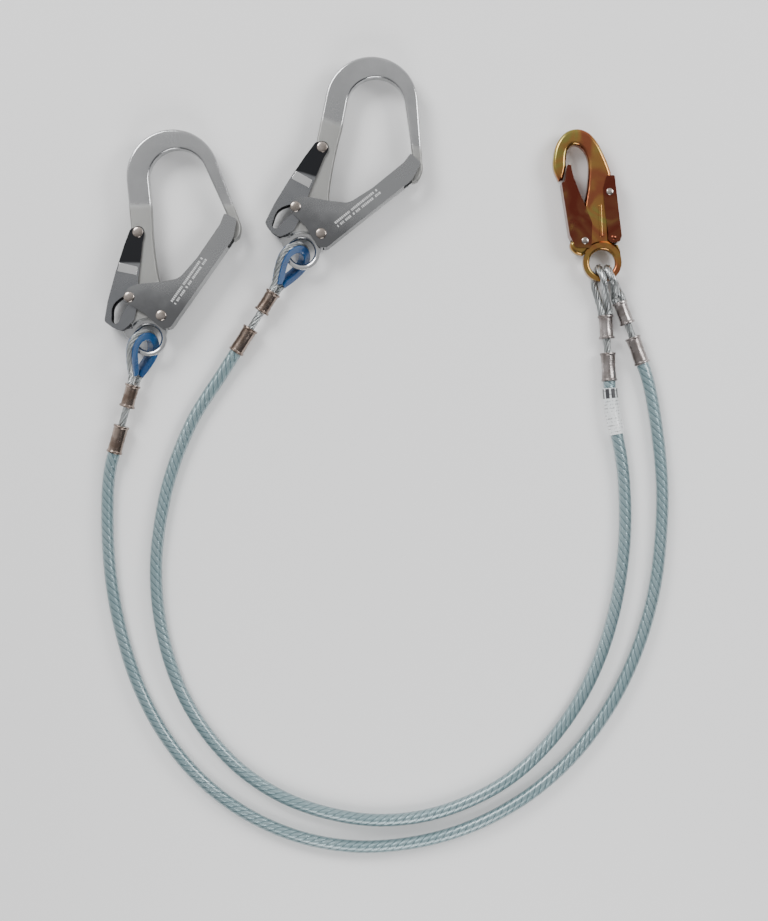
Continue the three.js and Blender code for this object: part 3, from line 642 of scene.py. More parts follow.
class Tree:
    """Adds nodes to one node tree and links them."""

    def __init__(self, tree: bpy.types.NodeTree) -> None:
        """Keeps the tree."""
        self.tree = tree

    def node(
        self, kind: str, inputs: dict[str | int, object] | None = None, **settings: object
    ) -> bpy.types.Node:
        """Adds a node.

        Args:
            kind: The node's type.
            inputs: A value or a socket for each named input.
            settings: The node's own properties.

        Returns:
            The node.
        """
        node = self.tree.nodes.new(kind)
        for key, value in settings.items():
            setattr(node, key, value)
        self.give(node, inputs or {})
        return node

    def grouped(self, tree: bpy.types.NodeTree, inputs: dict[str, object]) -> bpy.types.NodeOutputs:
        """Adds a node group with these inputs and returns its outputs."""
        node = self.tree.nodes.new("ShaderNodeGroup")
        node.node_tree = tree
        self.give(node, inputs)
        return node.outputs

    def give(self, node: bpy.types.Node, inputs: dict[str | int, object]) -> None:
        """Sets or links a node's inputs."""
        for key, value in inputs.items():
            if isinstance(value, bpy.types.NodeSocket):
                self.tree.links.new(value, node.inputs[key])
            else:
                node.inputs[key].default_value = value

    def maths(self, operation: str, *values: object) -> bpy.types.NodeSocket:
        """Adds a maths node and returns its result."""
        return self.node("ShaderNodeMath", dict(enumerate(values)), operation=operation).outputs[0]

    def blend(self, share: object, first: object, second: object) -> bpy.types.NodeSocket:
        """Mixes two colours by a share and returns the result."""
        inputs = {0: share, 6: first, 7: second}
        return self.node("ShaderNodeMix", inputs, data_type="RGBA", clamp_factor=True).outputs[2]

    def ramp(
        self, value: object, low: object, high: object, bottom: float = 0, top: float = 1
    ) -> bpy.types.NodeSocket:
        """Maps a value from low..high to bottom..top and returns the result."""
        inputs = {"Value": value, "From Min": low, "From Max": high, "To Min": bottom, "To Max": top}
        return self.node("ShaderNodeMapRange", inputs, interpolation_type="SMOOTHSTEP").outputs[0]


def group(
    name: str, inputs: dict[str, str], outputs: dict[str, str], build: Callable[..., None]
) -> bpy.types.NodeTree:
    """Makes a shader node group once.

    Args:
        name: The group's name.
        inputs: Each input's name and socket type.
        outputs: Each output's name and socket type.
        build: Fills the tree, given its Tree, input node and output node.

    Returns:
        The group.
    """
    tree = bpy.data.node_groups.get(name)
    if tree is None:
        tree = bpy.data.node_groups.new(name, "ShaderNodeTree")
        for side, sockets in (("INPUT", inputs), ("OUTPUT", outputs)):
            for socket, kind in sockets.items():
                tree.interface.new_socket(socket, in_out=side, socket_type=kind)
        make = Tree(tree)
        build(make, make.node("NodeGroupInput"), make.node("NodeGroupOutput"))
    return tree


NUMBER, VECTOR, COLOUR = "NodeSocketFloat", "NodeSocketVector", "NodeSocketColor"


def fill_grain(make: Tree, given: bpy.types.Node, result: bpy.types.Node) -> None:
    """Fills the grain group: noise drawn out along one axis."""
    drawn = make.node("ShaderNodeVectorMath", {0: given.outputs["Place"], 1: given.outputs["Stretch"]},
                      operation="MULTIPLY")
    noise = make.node("ShaderNodeTexNoise", {"Vector": drawn.outputs[0], "Scale": given.outputs["Scale"],
                                             "Detail": 4.0, "Roughness": 0.6})
    make.tree.links.new(noise.outputs["Fac"], result.inputs["Height"])


def grain() -> bpy.types.NodeTree:
    """The group for rolled, polished or blasted grain."""
    inputs = {"Place": VECTOR, "Stretch": VECTOR, "Scale": NUMBER}
    return group("grain", inputs, {"Height": NUMBER}, fill_grain)


def fill_handling(make: Tree, given: bpy.types.Node, result: bpy.types.Node) -> None:
    """Fills the handling group: smudges in the tint and the gloss, and fine scratches."""
    inputs = {"Vector": given.outputs["Place"], "Scale": given.outputs["Scale"], "Detail": 3.0}
    cloud = make.node("ShaderNodeTexNoise", inputs)
    mask = make.ramp(cloud.outputs["Fac"], 0.35, 0.68)
    scratch = make.node("ShaderNodeTexVoronoi", {"Vector": given.outputs["Place"], "Scale": 420.0},
                        feature="DISTANCE_TO_EDGE")
    line = make.ramp(scratch.outputs["Distance"], 0.0, 0.035, 1, 0)
    spread = make.maths("SUBTRACT", given.outputs["Dull"], given.outputs["Bright"])
    gloss = make.maths("MULTIPLY_ADD", mask, spread, given.outputs["Bright"])
    colour = make.blend(mask, given.outputs["Tint"], given.outputs["Stain"])
    make.tree.links.new(colour, result.inputs["Colour"])
    make.tree.links.new(make.maths("MULTIPLY_ADD", line, 0.06, gloss), result.inputs["Roughness"])


def handling() -> bpy.types.NodeTree:
    """The group for handling marks."""
    inputs = {
        "Place": VECTOR, "Scale": NUMBER, "Tint": COLOUR, "Stain": COLOUR, "Bright": NUMBER, "Dull": NUMBER,
    }
    return group("handling", inputs, {"Colour": COLOUR, "Roughness": NUMBER}, fill_handling)


def fill_lay(make: Tree, given: bpy.types.Node, result: bpy.types.Node) -> None:
    """Fills the lay group: parallel wires or strands that wind round a line."""
    ways = make.node("ShaderNodeSeparateXYZ", {0: given.outputs["Way"]})
    along = make.maths("MULTIPLY", ways.outputs[0], given.outputs["Per metre"])
    phase = make.maths("MULTIPLY_ADD", ways.outputs[1], given.outputs["Count"], along)
    height = make.maths("ABSOLUTE", make.maths("SINE", make.maths("MULTIPLY", phase, math.pi)))
    make.tree.links.new(height, result.inputs["Height"])
    make.tree.links.new(make.ramp(height, 0.0, given.outputs["Groove"], 1, 0), result.inputs["Groove"])


def lay() -> bpy.types.NodeTree:
    """The group for the lay of a rope."""
    inputs = {"Way": VECTOR, "Per metre": NUMBER, "Count": NUMBER, "Groove": NUMBER}
    return group("lay", inputs, {"Height": NUMBER, "Groove": NUMBER}, fill_lay)


def laid(make: Tree, way: object, per_metre: float, count: float, groove: float) -> bpy.types.NodeOutputs:
    """Adds a rope's lay to a tree and returns its outputs."""
    return make.grouped(lay(), {"Way": way, "Per metre": per_metre, "Count": count, "Groove": groove})


# ---------------------------------------------------------------- finishes

Colour = tuple[float, float, float, float]


def rgb(red: float, green: float, blue: float) -> Colour:
    """A colour from its three linear parts."""
    return (red, green, blue, 1.0)


@dataclass(frozen=True)
class Finish:
    """A metal or plastic surface with grain and handling marks."""

    name: str
    tint: Colour
    stain: Colour
    bright: float = 0.16
    dull: float = 0.3
    metal: float = 1.0
    smudge: float = 22.0
    grain_scale: float = 900.0
    stretch: tuple[float, float, float] = (1.0, 1.0, 1.0)
    relief: float = 0.08
    coat: float = 0.0

    def material(self) -> bpy.types.Material:
        """Returns the finish's material, made once."""
        name = f"{self.name}_finish"
        made = bpy.data.materials.get(name)
        if made is None:
            made = bpy.data.materials.new(name)
            made.use_nodes = True
            made.node_tree.nodes.clear()
            self.fill(Tree(made.node_tree))
        return made

    def surface(self, make: Tree, colour: object, roughness: object, height: object) -> None:
        """Adds the shader itself.

        Args:
            make: The material's tree.
            colour: The base colour's socket.
            roughness: The roughness's socket.
            height: The relief's height socket.
        """
        bump = make.node("ShaderNodeBump", {"Strength": self.relief, "Distance": 0.0006, "Height": height})
        shader = make.node("ShaderNodeBsdfPrincipled", {
            "Base Color": colour, "Roughness": roughness, "Metallic": self.metal, "Normal": bump.outputs[0],
            "Coat Weight": self.coat, "Coat Roughness": 0.06,
        })
        output = make.node("ShaderNodeOutputMaterial")
        make.tree.links.new(shader.outputs[0], output.inputs["Surface"])

    def grained(self, make: Tree, place: object) -> bpy.types.NodeSocket:
        """Adds the grain and returns its height."""
        inputs = {"Place": place, "Stretch": self.stretch, "Scale": self.grain_scale}
        return make.grouped(grain(), inputs)["Height"]

    def handled(self, make: Tree, place: object) -> tuple[bpy.types.NodeSocket, bpy.types.NodeSocket]:
        """Adds the handling marks and returns their colour and roughness."""
        out = make.grouped(handling(), {
            "Place": place, "Scale": self.smudge, "Tint": self.tint, "Stain": self.stain,
            "Bright": self.bright, "Dull": self.dull,
        })
        return out["Colour"], out["Roughness"]

    def fill(self, make: Tree) -> None:
        """Fills the material."""
        place = make.node("ShaderNodeTexCoord").outputs["Object"]
        self.look(make, place, *self.handled(make, place))

    def look(self, make: Tree, place: object, colour: object, roughness: object) -> None:
        """Adds what is this finish's own.

        Args:
            make: The material's tree.
            place: The place's socket.
            colour: The handled colour's socket.
            roughness: The handled roughness's socket.
        """
        self.surface(make, colour, roughness, self.grained(make, place))


@dataclass(frozen=True)
class ZonedFinish(Finish):
    """A hook's metal whose look changes along the hook: one zone, then another."""

    zone: Colour = rgb(0.3, 0.3, 0.3)
    zone_dull: float = 0.5
    zone_from: float = 0.0
    zone_to: float = 0.1
    soft: float = 0.003
    zone_relief: float = 1.0

    def look(self, make: Tree, place: object, colour: object, roughness: object) -> None:
        """Adds what is this finish's own."""
        plan = make.node("ShaderNodeSeparateXYZ", {0: make.node("ShaderNodeUVMap", uv_map="plan").outputs[0]})
        ragged = make.node("ShaderNodeTexNoise", {"Vector": place, "Scale": 90.0})
        way = make.maths("MULTIPLY_ADD", ragged.outputs["Fac"], self.soft, plan.outputs[1])
        above = make.ramp(way, self.zone_from - self.soft, self.zone_from + self.soft)
        below = make.ramp(way, self.zone_to - self.soft, self.zone_to + self.soft, 1, 0)
        mask = make.maths("MULTIPLY", above, below)
        mixed = make.blend(mask, colour, self.zone)
        gap = make.maths("SUBTRACT", self.zone_dull, roughness)
        gloss = make.maths("MULTIPLY_ADD", mask, gap, roughness)
        rough = make.maths("MULTIPLY_ADD", mask, self.zone_relief, 0.15)
        height = make.maths("MULTIPLY", rough, self.grained(make, place))
        self.surface(make, mixed, gloss, height)


@dataclass(frozen=True)
class ChromateFinish(Finish):
    """Yellow chromate that runs through gold, red and green."""

    film: float = 34.0
    red: Colour = rgb(0.31, 0.1, 0.05)
    green: Colour = rgb(0.3, 0.25, 0.07)

    def look(self, make: Tree, place: object, colour: object, roughness: object) -> None:
        """Adds what is this finish's own."""
        cloud = {"Vector": place, "Scale": self.film, "Detail": 2.0, "Distortion": 1.2}
        film = make.node("ShaderNodeTexNoise", cloud)
        red = make.ramp(film.outputs["Fac"], 0.42, 0.62)
        green = make.ramp(film.outputs["Fac"], 0.28, 0.44, 1, 0)
        mixed = make.blend(green, make.blend(red, colour, self.red), self.green)
        self.surface(make, mixed, roughness, self.grained(make, place))


@dataclass(frozen=True)
class WireFinish(Finish):
    """A strand of fine bright wires; the lay is its turns per metre, count and groove."""

    wires: tuple[float, float, float] = (-210.0, 9.0, 0.5)
    shade: Colour = rgb(0.07, 0.075, 0.08)

    def look(self, make: Tree, place: object, colour: object, roughness: object) -> None:
        """Adds what is this finish's own."""
        wires = laid(make, make.node("ShaderNodeUVMap", uv_map="lay").outputs[0], *self.wires)
        dark = make.blend(make.maths("MULTIPLY", wires["Groove"], 0.6), colour, self.shade)
        self.surface(make, dark, roughness, wires["Height"])


@dataclass(frozen=True)
class CoatedFinish(Finish):
    """Stranded wire seen through a clear glossy coat, with painted shade in the grooves between strands and
    between wires; each lay is its turns per metre, count and groove.
    """

    strands: tuple[float, float, float] = (145.0, 6.0, 0.55)
    wires: tuple[float, float, float] = (560.0, 10.0, 0.6)
    # The dark colour below is painted shade, laid into the grooves between strands and between wires.
    groove_shade: Colour = rgb(0.03, 0.08, 0.1)

    def look(self, make: Tree, place: object, colour: object, roughness: object) -> None:
        """Adds what is this finish's own."""
        way = make.node("ShaderNodeUVMap", uv_map="lay").outputs[0]
        strands, wires = laid(make, way, *self.strands), laid(make, way, *self.wires)
        # Painted shade: the wire grooves and then the strand grooves are darkened towards the dark colour.
        fine = make.blend(make.maths("MULTIPLY", wires["Groove"], 0.3), colour, self.groove_shade)
        dark = make.blend(make.maths("MULTIPLY", strands["Groove"], 0.8), fine, self.groove_shade)
        height = make.maths("MULTIPLY_ADD", wires["Height"], 0.3, strands["Height"])
        self.surface(make, dark, roughness, height)


@dataclass(frozen=True)
class LabelFinish(Finish):
    """A white label with plain printed bars under a clear glossy sleeve."""

    ink: Colour = rgb(0.02, 0.02, 0.025)
    rows: float = 330.0
    columns: float = 8.0
    heading: tuple[float, float] = (0.0005, 0.009)

    def look(self, make: Tree, place: object, colour: object, roughness: object) -> None:
        """Adds what is this finish's own."""
        ways = make.node("ShaderNodeSeparateXYZ", {0: make.node("ShaderNodeUVMap", uv_map="lay").outputs[0]})
        rows = make.maths("FRACT", make.maths("MULTIPLY", ways.outputs[0], self.rows))
        words = make.node("ShaderNodeTexNoise", {"Vector": place, "Scale": 520.0})
        small = make.maths("MULTIPLY", make.maths("GREATER_THAN", rows, 0.6),
                           make.maths("GREATER_THAN", words.outputs["Fac"], 0.52))
        low, high = self.heading
        large = make.maths("MULTIPLY", make.maths("GREATER_THAN", ways.outputs[0], low),
                           make.maths("LESS_THAN", ways.outputs[0], high))
        columns = make.maths("FRACT", make.maths("MULTIPLY", ways.outputs[1], self.columns))
        bold = make.maths("MULTIPLY", large, make.maths("GREATER_THAN", columns, 0.3))
        print_mask = make.maths("MAXIMUM", make.maths("MULTIPLY", small, 0.55), bold)
        self.surface(make, make.blend(print_mask, colour, self.ink), roughness, self.grained(make, place))


POLISHED = ZonedFinish(
    "polished_forging", rgb(0.55, 0.555, 0.56), rgb(0.42, 0.425, 0.43), 0.12, 0.22, zone=rgb(0.3, 0.3, 0.29),
    zone_dull=0.5, zone_from=0.017, zone_to=0.118, soft=0.004, relief=0.3, grain_scale=1400.0,
)
GATE_SHEET = ZonedFinish(
    "gate_sheet", rgb(0.4, 0.405, 0.41), rgb(0.31, 0.315, 0.32), 0.18, 0.3, zone=rgb(0.15, 0.152, 0.156),
    zone_dull=0.28, zone_from=-0.05, zone_to=0.05, soft=0.022, relief=0.05, stretch=(0.3, 1.0, 1.0),
)
LEVER_SHEET = ZonedFinish(
    "lever_sheet", rgb(0.3, 0.305, 0.315), rgb(0.2, 0.205, 0.215), 0.18, 0.3, zone=rgb(0.03, 0.031, 0.034),
    zone_dull=0.32, zone_from=0.066, zone_to=0.11, soft=0.0012, relief=0.05,
)
RIVET = Finish("rivet_steel", rgb(0.5, 0.44, 0.4), rgb(0.3, 0.26, 0.23), 0.12, 0.26, smudge=120.0)
SPRING = Finish("spring_wire", rgb(0.4, 0.41, 0.42), rgb(0.3, 0.3, 0.3), 0.3, 0.42)
# Painted highlight: a near-white metal colour on the lever's raised step that stands for the glint along its
# joggle.
PAINTED_HIGHLIGHT_BAND = Finish("painted_highlight_band", rgb(0.8, 0.8, 0.8), rgb(0.66, 0.66, 0.66), 0.12, 0.2)
ETCHED = Finish("etched_marks", rgb(0.72, 0.73, 0.73), rgb(0.6, 0.6, 0.6), 0.4, 0.6)
GOLD = ChromateFinish("gold_forging", rgb(0.38, 0.19, 0.06), rgb(0.34, 0.21, 0.06), 0.14, 0.26, relief=0.1)
GOLD_SHEET = ChromateFinish(
    "gold_sheet", rgb(0.2, 0.065, 0.035), rgb(0.15, 0.042, 0.026), 0.14, 0.26, red=rgb(0.16, 0.035, 0.022),
    green=rgb(0.26, 0.14, 0.05), relief=0.08,
)
FERRULE = Finish(
    "copper_ferrule", rgb(0.36, 0.29, 0.25), rgb(0.17, 0.125, 0.1), 0.16, 0.32, smudge=90.0, relief=0.2,
)
PALE_FERRULE = Finish(
    "silver_ferrule", rgb(0.42, 0.385, 0.375), rgb(0.2, 0.175, 0.165), 0.2, 0.36, smudge=90.0, relief=0.2,
)
WIRE = WireFinish("wire_rope", rgb(0.5, 0.52, 0.52), rgb(0.36, 0.38, 0.38), 0.26, 0.4, relief=0.35)
THIMBLE = Finish(
    "blue_thimble", rgb(0.001, 0.06, 0.19), rgb(0.001, 0.04, 0.14), 0.16, 0.3, metal=0.0, coat=0.6,
    smudge=60.0,
)
COATED = CoatedFinish(
    "clear_coated_rope", rgb(0.24, 0.33, 0.35), rgb(0.19, 0.28, 0.3), 0.26, 0.38, metal=0.45, coat=1.0,
    relief=0.5,
)
LABEL = LabelFinish(
    "clear_sleeve", rgb(0.78, 0.8, 0.8), rgb(0.7, 0.73, 0.74), 0.25, 0.35, metal=0.0, coat=1.0, smudge=40.0,
)


# ---------------------------------------------------------------- rope ends


@dataclass(frozen=True)
class RopeEnd:
    """The two ferrules and the bare rope at one end of a leg, from the coat's end towards -X."""

    side: Side
    end: End
    link: float
    finish: Finish
    rope: float = 3.175
    coat_ferrule: float = 25.0
    eye_ferrule: float = 20.5
    flare: float = 2.6
    seat: float = 0.55
    press: float = 0.05
    flats: int = 6
    jacket_radius: float = 6.375
    jacket_rim: float = 7.075
    eye_ferrule_radius: float = 5.975
    eye_ferrule_rim: float = 6.975

    @property
    def face(self) -> float:
        """Where the eye's two limbs leave the ferrule."""
        return -(GAP + self.coat_ferrule + self.link + self.eye_ferrule)

    def ferrule(self, length: float, radius: float, rim: float) -> bpy.types.Mesh:
        """A crimped sleeve along +X, with two rolled rims and a bore in its far end.

        Args:
            length: The sleeve's length.
            radius: Its radius between the rims.
            rim: The rims' radius.

        Returns:
            The sleeve's mesh.
        """
        roll, groove, steps = 0.45, 0.22, 6
        rise = [
            (self.flare * (0.5 + 0.5 * i / steps),
             rim - (rim - radius) * (0.5 - 0.5 * math.cos(math.pi * i / steps)))
            for i in range(steps + 1)
        ]
        bands = [(length * (0.3 + i / 10), radius - groove * (i % 2)) for i in range(5)]
        bore = self.rope + GAP
        near = [(0, 0), (0, rim - roll), (roll * 0.4, rim - roll * 0.3), (roll, rim), *rise]
        far = [(length - x, r) for x, r in near[1:][::-1]]
        inside = [(length, bore + roll), (length - roll, bore), (length * (1 - self.seat), bore),
                  (length * (1 - self.seat), 0)]

        def crimp(x: float, turn: float) -> float:
            """Presses flats into the middle of the sleeve."""
            middle = max(0.0, 1 - abs(2 * x / length - 1) * 1.5)
            return 1 - self.press * middle * (0.5 + 0.5 * math.cos(self.flats * turn))

        return lathe([*near, *bands, *far, *inside], 48, crimp)

    def build(self, place: Matrix) -> None:
        """Makes the ferrules and the link at a place."""
        body, stem = f"{self.side.value}_leg", f"{self.side.value}_{self.end.value}"
        turn = Matrix.Rotation(math.pi, 4, "Z")
        jacket = self.ferrule(self.coat_ferrule, self.jacket_radius, self.jacket_rim)
        jacket.transform(Matrix.Translation((-GAP, 0, 0)) @ turn)
        eye = self.ferrule(self.eye_ferrule, self.eye_ferrule_radius, self.eye_ferrule_rim)
        eye.transform(Matrix.Translation((self.face, 0, 0)))
        start = self.face + self.eye_ferrule * (1 - self.seat) + GAP
        stop = -GAP - self.coat_ferrule * (1 - self.seat) - GAP
        link = stranded([Vector((start, 0, 0)), Vector((stop, 0, 0))], self.rope)
        for what, mesh, finish, slot in (
            ("jacket_ferrule", jacket, self.finish, "copper_ferrule"),
            ("eye_ferrule", eye, self.finish, "copper_ferrule"),
            ("rope_link", link, WIRE, "wire_rope"),
        ):
            dressed(f"{what}_{stem}", mesh, place, body, [finish], [f"{stem}_{what}"])


@dataclass(frozen=True)
class HookEnd:
    """The thimble and the rope eye round it, at the hook end of a leg."""

    side: Side
    heading: float
    start: Vector
    eye_length: float = 50.5
    eye_radius: float = 14.8
    wall: float = 2.6
    width: float = 8.75
    flange: float = 1.0
    roll: float = 53.0
    hook_height: float = 14.9
    link: float = 17.0
    mouth: float = 0.24
    limb_clear: float = 4.5

    def build(self) -> None:
        """Makes the whole hook end."""
        end = RopeEnd(self.side, End.HOOK, self.link, FERRULE)
        middle = -(self.eye_length - end.rope - self.eye_radius)
        place = self.place(end.face + middle)
        end.build(place)
        at_eye = place @ Matrix.Translation((end.face, 0, 0))
        line, side = self.line(end.rope, middle), self.side.value
        dressed(f"rope_eye_{side}_hook", stranded(line, end.rope), at_eye, f"{side}_leg", [WIRE],
                [f"{side}_hook_rope_eye"])
        dressed(f"thimble_{side}", self.channel(line, end.rope, middle), at_eye, f"{side}_leg", [THIMBLE],
                [f"{side}_thimble"])

    def place(self, centre: float) -> Matrix:
        """Slopes the end's axis up to the hook and rolls the eye about it."""
        rise = math.asin((self.hook_height - self.start.z) / -centre)
        turn, roll = math.radians(self.heading), math.radians(self.roll)
        along = Vector((math.cos(turn) * math.cos(rise), math.sin(turn) * math.cos(rise), -math.sin(rise)))
        level = Vector((-math.sin(turn), math.cos(turn), 0))
        across = level * math.cos(roll) - along.cross(level) * math.sin(roll)
        axes = Matrix((along, across, along.cross(across))).transposed().to_4x4()
        return Matrix.Translation(self.start) @ axes

    def line(self, rope: float, middle: float) -> list[Vector]:
        """The rope's centre line round the eye, in the eye's own plane."""
        limb_offset = rope + GAP / 2
        limb = [(-0.5, 1.0), (-4, 1.02), (middle * 0.28, 1.45), (middle * 0.48, 2.6), (middle * 0.7, 3.65)]
        out = [Vector((x, share * limb_offset, 0)) for x, share in limb]
        crown = [Vector((middle + x, y, 0)) for x, y in arc(0, 0, self.eye_radius, 70, 290, 22)]
        back = [Vector((p.x, -p.y, 0)) for p in out[::-1]]
        return smooth([*out, *crown, *back])

    def channel(self, line: Sequence[Vector], rope: float, middle: float) -> bpy.types.Mesh:
        """The thimble: a grooved channel that the rope lies in."""
        groove, half, round_off, lip_round = rope + GAP / 2, self.width / 2, 1.3, 0.3
        full = rope + GAP + self.wall
        clear = self.limb_clear
        kept = [
            p for p in spaced(line, 1.0) if p.x < middle * self.mouth and (abs(p.y) > clear or p.x < middle)
        ]

        def section(point: Vector) -> Plan:
            """The channel's section, thinner where the two limbs close up."""
            depth = min(full, abs(point.y) - GAP / 2) if point.x > middle else full
            back = [(-depth + round_off, half), (-depth + 0.35, half - 0.4), (-depth, half - round_off)]
            lip = [(self.flange - lip_round, half), (self.flange, half - lip_round), (self.flange, groove)]
            rim = [*lip[::-1], *back, *[(n, -b) for n, b in back[::-1]], *[(n, -b) for n, b in lip]]
            return [*rim, *arc(0, 0, groove, 285, 75, 14)]

        return sweep(kept, section, Vector((0, 1, 0)))


@dataclass(frozen=True)
class SnapEnd:
    """The bare soft eye at the snap-hook end of a leg, over the ring's bar and back under it."""

    side: Side
    heading: float
    end: Vector
    ring: Vector
    over: float
    under: float
    crown_radius: float
    crown_bearing: float
    front: int
    ring_hole: float = 11.3
    ring_bar: float = 5.7
    ring_thickness: float = 8.0
    link: float = 12.5

    def build(self) -> None:
        """Makes the ferrules, the link and the eye."""
        end, side = RopeEnd(self.side, End.SNAP, self.link, PALE_FERRULE), self.side.value
        turn = Matrix.Rotation(math.radians(self.heading + 180), 4, "Z")
        end.build(Matrix.Translation(self.end) @ turn)
        dressed(f"rope_eye_{side}_snap", stranded(smooth(self.points(end)), end.rope), Matrix(),
                f"{side}_leg", [WIRE], [f"{side}_snap_rope_eye"])

    def points(self, end: RopeEnd) -> list[Vector]:
        """The points that the eye's centre line runs through."""
        turn = math.radians(self.heading)
        ahead = Vector((math.cos(turn), math.sin(turn), 0))
        side = Vector((ahead.y, -ahead.x, 0)) * (self.front * (end.rope + GAP / 2))
        mouth = self.end + ahead * (-end.face + GAP + 0.2)
        lift = self.ring_thickness / 2 + end.rope + GAP + 0.4
        bar = self.ring_hole + self.ring_bar / 2

        def at(radius: float, bearing: float, z: float) -> Vector:
            """A place given from the ring's centre."""
            way = math.radians(bearing)
            return self.ring + Vector((radius * math.cos(way), radius * math.sin(way), z))

        def limb(sign: int, bearing: float) -> list[Vector]:
            """One limb, from the ferrule to the inside of the ring."""
            clear = at(bar + 4.5, bearing, sign * lift)
            inner = (bearing + self.crown_bearing) / 2
            return [
                mouth + side * sign,
                mouth + side * (sign * 1.02) + ahead * 4,
                mouth.lerp(clear, 0.55) + side * (sign * 0.4),
                clear,
                at(bar, bearing, sign * lift),
                at(self.ring_hole - end.rope - 0.5, inner, sign * lift * 0.6),
            ]

        crown = at(self.crown_radius, self.crown_bearing, 0)
        return [*limb(1, self.over), crown, *limb(-1, self.under)[::-1]]


# ---------------------------------------------------------------- coated legs


@dataclass(frozen=True)
class CoatedLeg:
    """One vinyl-coated rope leg, laid along its route."""

    side: Side
    route: Sequence[tuple[float, float, float]]
    diameter: float = 11.1

    @property
    def line(self) -> list[Vector]:
        """The leg's centre line, in millimetres."""
        return smooth([Vector(point) / MM for point in self.route])

    def build(self, with_pieces: Sequence[bpy.types.Object] = ()) -> bpy.types.Object:
        """Makes the leg.

        Args:
            with_pieces: The pieces that lie on it; not used.

        Returns:
            The leg.
        """
        line = spaced(self.line, 2.5)
        mesh = sweep(line, disc_section(self.diameter / 2, 28))
        side, node = self.side.value, f"{self.side.value}_leg"
        leg = dressed(f"coated_rope_{side}", mesh, Matrix(), node, [COATED], [node])
        return leg


@dataclass(frozen=True)
class LabelSleeve:
    """The printed label in its clear sleeve, beside the inner leg's snap-end ferrule."""

    start: float = 6.0
    length: float = 42.0
    bore: float = 6.2
    wall: float = 0.5

    def build(self, leg: CoatedLeg) -> bpy.types.Object:
        """Makes the sleeve on a leg's last stretch and returns it."""
        line = spaced(leg.line, 1.0)[::-1]
        first, last = round(self.start), round(self.start + self.length)
        skin = sweep(line[first:last], disc_section(self.bore + self.wall, 36))
        bore = sweep(line[first - 3:last + 3], disc_section(self.bore, 36))
        return dressed("label_in_sleeve", carved(skin, bore), Matrix(), "inner_leg", [LABEL],
                       ["label_sleeve"])


# ---------------------------------------------------------------- scaffold hooks


def domed_rivet(
    x: float, y: float, shank: float, head: float, height: float, half_grip: float
) -> bpy.types.Mesh:
    """A rivet with two domed heads, upright at a plan point.

    Args:
        x: The plan point's x.
        y: The plan point's y.
        shank: The shank's radius.
        head: The heads' radius.
        height: How far the heads stand up.
        half_grip: Half the length between the heads.

    Returns:
        The rivet's mesh.
    """
    rim = half_grip + 0.25
    bearings = [math.radians(turn) for turn in range(0, 90, 10)]
    dome = [(rim + (half_grip + height - rim) * math.sin(t), head * math.cos(t)) for t in bearings]
    seat = [(half_grip, shank), (half_grip, head - 0.15), (half_grip + 0.1, head)]
    upper = [*seat, *dome, (half_grip + height, 0)]
    return turned([*[(-z, r) for z, r in upper[::-1]], *upper], x, y)


def ring_relief(foot: float, top: float, ring: float, clear: float, segments: int) -> bpy.types.Mesh:
    """A cutter that thins a forging down to its ring, with a sloping shoulder round it.

    Args:
        foot: The height of the ring's face.
        top: The height of the forging's face.
        ring: The ring's outer radius.
        clear: How far the cut is past the ring at the top.
        segments: How many steps go round.

    Returns:
        The cutter's mesh.
    """
    reach = math.copysign(BEYOND, top)
    around = [(foot, 0), (foot, ring + 0.6), (top, ring + clear), (reach, ring + clear), (reach, 0)]
    return turned(around, 0, 0, segments)


